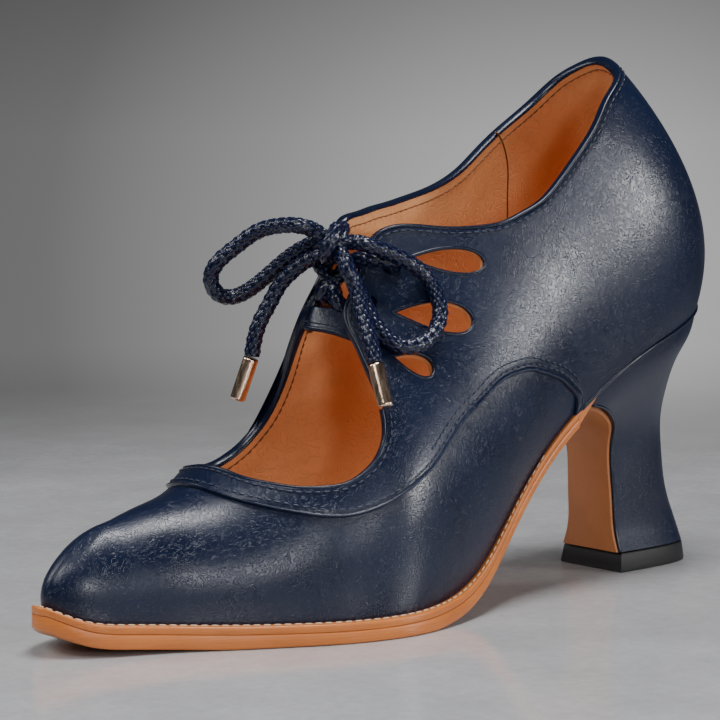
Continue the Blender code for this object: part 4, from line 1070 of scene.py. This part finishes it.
def vamp_lines(side):
    """Lower line at the sole and upper line just under the quarter's edge, then along the ridge."""
    edge = edge_curve(np.linspace(0, 1, 300))
    stations, climbs = inward(side, edge[:, 0], edge[:, 1], -0.0012)
    keep = climbs < 1.0
    stations, climbs = stations[keep], climbs[keep]
    ridge = np.linspace(QUARTER_FRONT - 0.06, TOE, 120)
    top = np.concatenate([np.stack([stations, climbs], 1), np.stack([ridge, np.ones(120)], 1)])
    places = last_point(on_side(side, top[:, 0]), np.clip(top[:, 1], 0, 1))
    marks = marks_along(places)
    feet = np.linspace(QUARTER_BACK - 0.05, TOE, VAMP_COLUMNS)
    foot_places = last_point(feet, 0 * feet)
    foot_marks = marks_along(foot_places)
    matched = foot_marks / foot_marks[-1] * marks[-1]
    lower = np.stack([on_side(side, feet), np.zeros(VAMP_COLUMNS)], 1)
    upper = np.stack([on_side(side, np.interp(matched, marks, top[:, 0])),
                      np.interp(matched, marks, top[:, 1])], 1)
    upper[-1] = (TOE, 1.0)
    return lower, upper


def vamp():
    """Toe and vamp of both sides, running under the quarter."""
    lowers, uppers = vamp_lines("outer")
    more_lower, more_upper = vamp_lines("inner")
    lower = np.concatenate([lowers, more_lower[::-1][1:]])
    upper = np.concatenate([uppers, more_upper[::-1][1:]])
    rows = np.linspace(0, 1, 64)
    piece = panel("vamp_leather", lower, upper, rows, 0.0, -0.0003, [NAVY])
    dressed(piece, "upper_leather", "upper")


def lining():
    """Tan lining inside the whole wall, cut out with the quarter, with its seam on the inner side drawn as a
    dark line of painted shade.
    """
    rows = np.linspace(0, 1, 40)
    for side in ("outer", "inner"):
        places = np.linspace(0, len(RIM) - 1, 150)
        feet = rim_curve(places)[:, 0]
        stations, climbs = rim_line(side, places, 0.0010)
        ahead = np.linspace(stations[-1], TOE - 0.4, 50)[1:]
        feet = np.concatenate([feet[:-1], [stations[-1]], ahead])
        top_stations = np.concatenate([stations, ahead])
        top_climbs = np.minimum(np.concatenate([climbs, np.ones(49)]), 0.985)
        lower = np.stack([on_side(side, feet), np.zeros(len(feet))], 1)
        upper = np.stack([on_side(side, top_stations), top_climbs], 1)
        inside = np.concatenate([np.full(149, -WALL), np.linspace(-WALL, -0.0009, 12), np.full(38, -0.0009)])
        if side == "inner":
            lower, upper, inside = lower[::-1], upper[::-1], inside[::-1]
        piece = panel("lining_" + side, lower, upper, rows, -0.00035, inside[:, None], [LINING])
        cut_holes(piece, side, LINING)
        dressed(piece, "lining_leather", "upper")
    # painted shade: the lining's seam is a thin dark brown rope
    line = open_curve(range(7), [(3.30, 0.645), (3.35, 0.62), (3.60, 0.56), (3.85, 0.51), (4.00, 0.47),
                                 (4.15, 0.42), (4.25, 0.38)])(np.linspace(0, 6, 60))
    points = surface(on_side("inner", line[:, 0]), line[:, 1], np.full(60, -WALL + 0.0001))
    dressed(rope("lining_seam_shade", points, 0.00036, 12, [BROWN_SHADE]), "lining_leather")


def binding():
    """Rolled edge of collar and throat."""
    lines = {}
    for side in ("outer", "inner"):
        lines[side] = rim_line(side, np.linspace(0, len(RIM) - 1, 260), BEAD / 2)
    climb = (lines["outer"][1][0] + lines["inner"][1][0]) / 2
    front = (lines["outer"][0][-1] + lines["inner"][0][-1]) / 2
    for side in lines:
        lines[side][1][0], lines[side][0][-1] = climb, front
    middle = np.full(260, (OVERLAY - WALL) / 2)
    ends = (lines["outer"], (2 * TOE - lines["inner"][0], lines["inner"][1]))
    outer, inner = [surface(row[0], row[1], middle) for row in ends]
    outer_normal, inner_normal = [last_normal(row[0], np.minimum(row[1], 0.999)) for row in ends]
    points = np.concatenate([outer, inner[-2:0:-1]])
    normals = softened(np.concatenate([outer_normal, inner_normal[-2:0:-1]]), 6)
    piece = bead("rolled_binding", points, normals, BEAD, WALL + OVERLAY + GAP, 20, [NAVY_EDGE], closed=True)
    dressed(piece, "binding_leather", "topline_binding")


def sewing():
    """Rows of stitches on quarter and lining, each over a dark line of painted shade for its needle holes."""
    places = np.linspace(0.1, len(RIM) - 1, 700)
    edge = edge_curve(np.linspace(0.02, 1, 600))
    peak = edge_curve(np.linspace(0.10, 0.50, 300))
    navy, brown = (NAVY_THREAD, NAVY_SHADE), (BROWN_THREAD, BROWN_SHADE)
    rows = (
        ("binding_stitches", lambda side: rim_line(side, places, BINDING_ROW), OVERLAY, False, navy,
         "binding_leather"),
        ("lining_stitches", lambda side: rim_line(side, places, LINING_ROW), -WALL, True, brown,
         "lining_leather"),
        ("quarter_stitches", lambda side: inward(side, edge[:, 0], edge[:, 1], -QUARTER_ROW), 0.00092, False,
         navy, "upper_leather"),
        ("second_stitches", lambda side: inward(side, peak[:, 0], peak[:, 1], -SECOND_ROW), 0.00100, False,
         navy, "upper_leather"))
    for name, line, lift, inside, looks, slot in rows:
        points, normals = both_sides(line, lift, inside)
        half = len(points) // 2
        parts = {"": slice(None)}
        if name == "second_stitches":
            parts = {"_a": slice(0, half), "_b": slice(half, None)}
        for tail, cut in parts.items():
            sewn_row(name + tail, points[cut], normals[cut], looks, slot)


def sewn_row(name, points, normals, looks, slot):
    """Stitches, and under them a dark line of painted shade for their needle holes."""
    dressed(stitches(name, points, normals, STITCH, THREAD, PITCH, looks[0], sink=0.1), slot)
    under = even(points - normals * HOLE_SHADE_SUNK, 0.0012)
    # painted shade: a thin dark rope sunk under the stitches
    dressed(rope(name + "_line", under, HOLE_SHADE_RADIUS, 6, [looks[1]]), slot)


def turned_edges():
    """Thin rolled edge round each teardrop."""
    for number, row in enumerate(CUT_OUTS):
        centre, along, across, normal, outline = teardrop(row, 72, grow=0.0002)
        line = []
        for x, y in outline:
            place = centre + along * x + across * y
            line.append(on_leather(place, normal, row[0], 0.00072))
        piece = rope("turned_edge_%d" % number, np.array(line), 0.00055, 12, [NAVY_EDGE], closed=True)
        dressed(piece, "binding_leather")


def on_leather(place, normal, side, lift):
    """The point at a height above the last on the straight line through place along normal."""
    grid = leather_grid(side)
    hit = grid.ray_cast(Vector(place + normal * 0.012), Vector(-normal))
    found = np.array(hit[0])
    return found + np.array(hit[1]) * lift


GRIDS = {}


def leather_grid(side):
    """Fine mesh of the last round the cut-outs of one side."""
    if side not in GRIDS:
        stations, climbs = np.linspace(4.5, 8.5, 120), np.linspace(0.3, 0.98, 90)
        grid = last_point(on_side(side, stations)[:, None], climbs[None, :])
        faces = skin(120, 90, closed=False)
        if side == "inner":
            faces = [face[::-1] for face in faces]
        GRIDS[side] = BVHTree.FromPolygons(grid.reshape(-1, 3).tolist(), faces)
    return GRIDS[side]


def strap_sheet(lift, stations, climbs, drop):
    """One face of the strap over the ridge; its normals are blended, so it doesn't fold there."""
    turn = climbs[None, :] * np.ones((len(stations), 1))
    real = np.where(turn <= 1, stations[:, None], 2 * TOE - stations[:, None])
    climb = np.clip(np.minimum(turn, 2 - turn), 0, 0.9995)
    points, normals = last_point(real, climb), last_normal(real, climb)
    first, last = normals[:, :1], normals[:, -1:]
    share = smooth_step((climbs - climbs[0]) / (climbs[-1] - climbs[0]))[None, :, None]
    blended = first * (1 - share) + last * share
    blended = unit(blended)
    return points + blended * (lift - drop[:, None])[..., None], blended


def strap():
    """Bridge strap across the throat, its lower edge turned and sewn."""
    stations = np.linspace(STRAP_TOP, STRAP_BOTTOM, 40)
    climbs = np.linspace(STRAP_OUTER_END, 2 - STRAP_INNER_END, 90)
    edge = np.minimum(np.arange(40), np.arange(40)[::-1]) / 39.0
    rounding = 0.0005 * np.clip(1 - edge / 0.08, 0, 1) ** 2
    top, _ = strap_sheet(-(WALL + GAP), stations, climbs, rounding)
    low, _ = strap_sheet(-(WALL + GAP + STRAP_THICK), stations, climbs, -rounding)
    count = 40 * 90
    faces = []
    for r in range(39):
        for c in range(89):
            a, b, d = r * 90 + c, r * 90 + c + 1, (r + 1) * 90 + c
            faces += [(a, b, d + 1, d), (count + d, count + d + 1, count + b, count + a)]
    border = list(range(90)) + [r * 90 + 89 for r in range(1, 40)]
    border += [count - 2 - c for c in range(89)] + [r * 90 for r in range(38, 0, -1)]
    for a, b in zip(border, border[1:] + border[:1]):
        faces.append((a, b, count + b, count + a))
    points = np.concatenate([top.reshape(-1, 3), low.reshape(-1, 3)])
    dressed(new_piece("bridge_strap_leather", points, faces, [NAVY]), "upper_leather", "throat_strap")
    rolled, _ = strap_sheet(-(WALL + GAP + 0.0006), np.array([STRAP_BOTTOM - 0.02]), climbs, np.zeros(1))
    dressed(rope("strap_rolled_edge", rolled[0], 0.0008, 12, [NAVY_EDGE]), "binding_leather")
    line, normal = strap_sheet(-(WALL + GAP), np.array([STRAP_BOTTOM - 0.11]), climbs, np.zeros(1))
    # painted shade: a thin near-black rope under the strap's stitches stands for their needle holes
    under = even(line[0] - normal[0] * 0.00021, 0.0012)
    dressed(rope("strap_stitches_hole_shade", under, 0.0003, 6, [NAVY_SHADE]), "upper_leather")
    dressed(stitches("strap_stitches", line[0], normal[0], STITCH, 0.00048, PITCH, NAVY_THREAD, sink=0.2),
            "upper_leather")


quarter()
vamp()
lining()
binding()
sewing()
turned_edges()
strap()


# Sole and heel

def waist_share(stations):
    """0 at the heel, 1 from the ball forward."""
    return smooth_step((from_back(stations) - HEEL_WING) / (9.5 - 2 - HEEL_WING))


def welt_out(stations):
    """How far the welt stands out: less in the waist."""
    return WELT_WAIST_OUT + (WELT_OUT - WELT_WAIST_OUT) * waist_share(stations)


def insole():
    """Leather insole with a rounded upper edge."""
    stations = np.linspace(0, 2 * TOE, 400, endpoint=False)
    inside = -(WALL + INSOLE_FIT)
    rings = [sole_edge(stations, inside, -GAP), sole_edge(stations, inside, -(GAP + INSOLE_THICK - 0.0006)),
             sole_edge(stations, inside - 0.0006, -(GAP + INSOLE_THICK))]
    piece = stack("sewn_insole", rings, [INSOLE], back_point=True)
    dressed(piece, "lining_leather", "insole")


def sole_stations(count):
    """Stations of the sole's edge, from the heel's front round the toe and back."""
    start = HEEL_WING + 0.0008 / (foot_along(HEEL_WING + 0.5) - foot_along(HEEL_WING - 0.5))
    return np.linspace(start, 2 * TOE - start, count)


def welt():
    """Welt with a rounded edge and its row of stitches."""
    stations = sole_stations(520)
    out = welt_out(stations)
    tuck = -WELT_TUCK + 0 * out
    profile = [(tuck, 0.0), (out - 0.0006, 0.0), (out - 0.00025, 0.00008), (out - 0.00005, 0.0003),
               (out, 0.0006), (out, WELT_THICK - 0.0003), (out - 0.00008, WELT_THICK - 0.0001),
               (out - 0.0002, WELT_THICK - 0.00003), (out - 0.0005, WELT_THICK), (tuck, WELT_THICK)]
    lines = [sole_edge(stations, shift, drop) for shift, drop in profile]
    rings = np.stack(lines, 1)
    faces = capped(len(rings), len(profile))
    piece = new_piece("welt_strip", rings.reshape(-1, 3), faces, [WELT])
    dressed(piece, "sole_leather", "welt")
    row = sole_stations(1500)
    row = row[(from_back(row) > 5.2)]
    points = sole_edge(row, welt_out(row) * 0.52, 0.0)
    normals = np.tile((0.0, 0.0, 1.0), (len(points), 1))
    piece = stitches("welt_stitches", points, normals, 0.0021, 0.00065, 0.0028, CREAM_THREAD, sink=0.25)
    dressed(piece, "sole_leather")


def outsole():
    """Outsole with a burnished edge over most of its thickness, thinner in the shank."""
    stations = sole_stations(520)
    out = welt_out(stations)
    thick = SHANK_THICK + (SOLE_THICK - SHANK_THICK) * waist_share(stations)
    under = WELT_THICK + 0.00004
    bottom = WELT_THICK + thick + 2 * GAP
    inner = -(WELT_TUCK + GAP) + 0 * out
    rings = [sole_edge(stations, out - shift, bottom - lift, floor=lift)
             for shift, lift in ((0.0010, 0.0), (0.0005, 0.0001), (0.00015, 0.0004), (0.0, 0.0008))]
    rings += [sole_edge(stations, out - shift, under + drop)
              for shift, drop in ((0.0, 0.00025), (0.00008, 0.00008), (0.00035, 0.0))]
    rings += [sole_edge(stations, inner, under), sole_edge(stations, inner, 0)]
    piece = stack("leather_outsole", rings, [WELT, SOLE], back_point=False)
    for polygon in piece.data.polygons:
        if polygon.normal.z < -0.75:
            polygon.material_index = 1
    dressed(piece, "sole_leather", "outsole")


HEEL_POINTS = 60


def heel_share():
    """Stations of the heel's seat, and their share of the way from breast to back."""
    stations = np.linspace(HEEL_WING, 0, HEEL_POINTS)
    along = foot_along(stations)
    return stations, (along[0] - along) / (along[0] - along[-1])


def heel_width(share):
    """Half width along a level of the heel, as a share: square at the breast, round at the back."""
    return (1 - HEEL_TAPER * share) * np.clip(1 - share ** HEEL_SQUARE, 0, 1) ** HEEL_ROUND


def top_piece_plan(shares, rim):
    """Places along and half widths of the top piece, grown by a rim."""
    back = HEEL[0][2] * LENGTH - (TOP_PIECE_LENGTH - (HEEL[0][3] - HEEL[0][2]) * LENGTH)
    front = back + TOP_PIECE_LENGTH
    along = front + rim + (back - front - 2 * rim) * shares
    return along, (TOP_PIECE_WIDTH / 2 - TOP_PIECE_RIM + rim) * heel_width(shares)


def half_turns():
    """Shares from breast to back with extra points where the heel turns, and their side."""
    stations, share = heel_share()
    around_back = np.concatenate([stations, 2 * TOE - stations[-2::-1]])
    shares = np.concatenate([share, share[-2::-1]])
    sign = np.concatenate([-np.ones(HEEL_POINTS), np.ones(HEEL_POINTS - 1)])
    return around_back, shares, sign


def heel():
    """Waisted heel covered in the upper's leather."""
    around_back, shares, sign = half_turns()
    seat = sole_edge(around_back, OVERLAY, 0)
    front, back = seat[0], seat[HEEL_POINTS - 1]
    straight = front[2] + (back[2] - front[2]) * shares
    along, half = top_piece_plan(shares, 0)
    rings = [np.stack([-along, sign * half, np.full(len(shares), TOP_PIECE_HEIGHT + GAP)], 1)]
    for back_height, front_height, back_at, front_at, half_width, spread in HEEL:
        x = -(front_at + (back_at - front_at) * shares) * LENGTH
        narrow = sign * half_width * TOP_PIECE_WIDTH * heel_width(shares)
        level = (front_height + (back_height - front_height) * shares) * SEAT_HEIGHT
        rings.append(np.stack([x, narrow + (seat[:, 1] - narrow) * spread,
                               level + (seat[:, 2] - straight) * spread], 1))
    rings = np.array(rings + [seat])
    mean = rings[:, :, 2].mean(1)
    curve = open_curve(mean, rings.reshape(len(rings), -1))
    fine = curve(np.linspace(mean[0], mean[-1], 90)).reshape(90, -1, 3)
    piece = stack("covered_heel", list(fine), [NAVY_HEEL], back_point=False)
    dressed(piece, "upper_leather", "heel")
    for side, column in (("outer", 0), ("inner", -1)):
        line = fine[:82, column] + np.array([-0.0002, 0.0003 if side == "outer" else -0.0003, 0.0])
        piece = rope("heel_edge_" + side, line, 0.0006, 12, [NAVY_EDGE])
        dressed(piece, "binding_leather")
    piece = rope("heel_seat_seam", seat + np.array([0.0, 0.0, -0.0002]), 0.0006, 10, [NAVY_EDGE])
    dressed(piece, "binding_leather")
    # painted shade: a thin near-black rope above the seat's piping stands for the shade in its groove
    groove = sole_edge(around_back, OVERLAY - 0.0003, -0.0006)
    dressed(rope("heel_seat_groove_shade", groove, 0.0004, 8, [NAVY_SHADE]), "binding_leather")


def sole_tips():
    """Ends of the sole's edge, which taper away over the front of the heel."""
    start = sole_stations(2)[0]
    share = np.linspace(0, 1, 24)
    full = WELT_THICK + SHANK_THICK
    out, inner, top = WELT_WAIST_OUT + 0.0001, -0.002, 0.0003
    bottom = top + (full - 0.0003) * (1 - share)
    bend = top + (full - 0.0008) * (1 - share)
    for side in ("outer", "inner"):
        real = on_side(side, start + 0.02 - 0.42 * share)
        lines = [sole_edge(real, shift, drop) for shift, drop in (
            (inner, top), (out, top), (out, bend), (out - 0.0004, bottom), (inner, bottom))]
        points = np.stack(lines, 1).reshape(-1, 3)
        piece = new_piece("sole_tip_" + side, points, capped(len(share), len(lines)), [WELT])
        dressed(piece, "sole_leather")


def breast_cover():
    """Tan leather on the front of the heel."""
    front = top_piece_plan(np.array([0.0]), 0)
    rows = [(front[0][0], TOP_PIECE_HEIGHT + GAP, front[1][0])]
    seat = sole_edge(np.array([HEEL_WING, 2 * TOE - HEEL_WING]), OVERLAY, 0)
    for _, front_height, _, front_at, half_width, spread in HEEL:
        narrow = half_width * TOP_PIECE_WIDTH
        outer = narrow + (-seat[0, 1] - narrow) * spread
        inner = narrow + (seat[1, 1] - narrow) * spread
        rows.append((front_at * LENGTH, front_height * SEAT_HEIGHT, min(outer, inner)))
    rows = np.array(rows)
    marks = marks_along(rows[:, :2])
    line = open_curve(marks, rows)(np.linspace(0, marks[-1], 90))
    run = np.gradient(line[:, :2], axis=0)
    normal = np.stack([run[:, 1], -run[:, 0]], 1)
    normal = unit(normal)
    half = line[:, 2] - BREAST_INSET * 0.5
    edge = [(0.0, 1.0), (0.75, 1.0), (0.93, 0.985), (1.0, 0.955)]
    rings = []
    for i in range(len(line)):
        ring = []
        for sign, steps in ((-1, edge), (1, edge[::-1])):
            for depth, share in steps:
                place = line[i, :2] + normal[i] * (GAP + BREAST_THICK * depth)
                ring.append((-place[0], sign * half[i] * share, max(place[1], TOP_PIECE_HEIGHT + GAP)))
        rings.append(ring)
    faces = capped(len(rings), 2 * len(edge))
    piece = new_piece("breast_leather", np.array(rings).reshape(-1, 3), faces, [BREAST])
    dressed(piece, "sole_leather", "heel_breast_cover")


def top_piece():
    """Rubber top piece that flares a little to the floor."""
    _, shares, sign = half_turns()
    rings = []
    for rim, height in ((0.0003, 0.0), (0.0007, 0.0001), (0.0009, 0.0006), (0.0002, 0.0055), (0.0, 0.0059),
                        (-0.0003, TOP_PIECE_HEIGHT)):
        along, half = top_piece_plan(shares, rim)
        rings.append(np.stack([-along, sign * half, np.full(len(shares), height)], 1))
    piece = stack("rubber_top_piece", rings, [RUBBER], back_point=False)
    dressed(piece, "top_piece_rubber", "top_piece")


insole()
welt()
outsole()
heel()
sole_tips()
breast_cover()
top_piece()


# Studio

def studio():
    """Pale floor, grey surroundings with a glow behind the shoe, soft lights and the camera."""
    bpy.ops.object.select_all(action="DESELECT")
    bpy.ops.mesh.primitive_circle_add(vertices=96, radius=0.62, fill_type="NGON", location=(0, 0, 0))
    floor = bpy.context.object
    floor.name = "studio_floor"
    look, tree, shader = nodes_of("polished pale floor")
    vector = coordinates(tree)
    cloud = noise(tree, vector, 22, 6, 0.65)
    fine = noise(tree, vector, 260, 4, 0.7)
    both = maths(tree, "ADD", maths(tree, "MULTIPLY", cloud.outputs["Fac"], 0.6),
                 maths(tree, "MULTIPLY", fine.outputs["Fac"], 0.4))
    link(tree, ramp(tree, both, [(0.35, (0.43, 0.43, 0.445, 1)), (0.65, (0.55, 0.55, 0.57, 1))]),
         shader.inputs["Base Color"])
    link(tree, ramp(tree, both, [(0.35, grey(0.09)), (0.65, grey(0.18))]), shader.inputs["Roughness"])
    shader.inputs["Specular IOR Level"].default_value = 1.0
    distance = tree.nodes.new("ShaderNodeVectorMath")
    distance.operation = "LENGTH"
    link(tree, vector, distance.inputs[0])
    fade = ramp(tree, distance.outputs["Value"], [(0.26, grey(1.0)), (0.56, grey(0.0))])
    link(tree, fade, shader.inputs["Alpha"])
    floor.data.materials.append(look)
    world = bpy.data.worlds.new("studio grey")
    bpy.context.scene.world = world
    world.use_nodes = True
    tree = world.node_tree
    back = tree.nodes["Background"]
    direction = tree.nodes.new("ShaderNodeTexCoord")
    split = tree.nodes.new("ShaderNodeSeparateXYZ")
    link(tree, direction.outputs["Generated"], split.inputs[0])
    height = maths(tree, "ADD", maths(tree, "MULTIPLY", split.outputs["Z"], 2.0), 0.5)
    level = ramp(tree, height, [(0.0, grey(0.30)), (0.24, grey(0.75)), (0.30, grey(1.0)), (0.46, grey(0.95)),
                                (0.60, grey(0.62)), (1.0, grey(0.5))])
    offset = tree.nodes.new("ShaderNodeVectorMath")
    offset.operation = "DISTANCE"
    link(tree, direction.outputs["Generated"], offset.inputs[0])
    offset.inputs[1].default_value = (0.713, 0.698, -0.067)
    glow = ramp(tree, offset.outputs["Value"], [(0.0, grey(0.54)), (0.06, grey(0.46)), (0.12, grey(0.31)),
                                                (0.20, grey(0.17)), (0.34, grey(0.11)), (0.70, grey(0.07))])
    link(tree, maths(tree, "MULTIPLY", level, glow), back.inputs["Color"])
    back.inputs["Strength"].default_value = 1.0
    target = Vector(TARGET) + Vector(PLACE)
    lights = (("top", (0.03, -0.12, 1.00), 0.60, 0.30, 11.0),
              ("far_left", (-0.60, 0.70, 0.55), 0.22, 0.5, 3.0),
              ("toe", (-0.45, -0.93, 0.22), 0.13, 0.20, 1.8), ("front", (0.02, -0.99, 0.20), 0.20, 0.20, 1.2),
              ("right", (0.61, -0.80, 0.19), 0.22, 0.20, 3.8), ("key", (-0.85, -0.10, 0.80), 0.35, 0.35, 4.5))
    for name, place, wide, tall, power in lights:
        data = bpy.data.lights.new(name, "AREA")
        data.shape = "RECTANGLE"
        data.size, data.size_y = wide, tall
        data.energy = power
        lamp = bpy.data.objects.new(name, data)
        lamp.location = target + Vector(place)
        lamp.rotation_euler = (target - lamp.location).to_track_quat("-Z", "Y").to_euler()
        bpy.context.scene.collection.objects.link(lamp)
    azimuth, elevation = np.radians(-AZIMUTH), np.radians(ELEVATION)
    back_way = Vector((-np.sin(azimuth) * np.cos(elevation), -np.cos(azimuth) * np.cos(elevation),
                       np.sin(elevation)))
    data = bpy.data.cameras.new("camera")
    data.lens, data.sensor_width = LENS, 36.0
    data.clip_start, data.clip_end = 0.01, 20.0
    camera = bpy.data.objects.new("camera", data)
    camera.location = target + back_way * DISTANCE
    camera.rotation_euler = (-back_way).to_track_quat("-Z", "Y").to_euler()
    bpy.context.scene.collection.objects.link(camera)
    bpy.context.scene.camera = camera


studio()
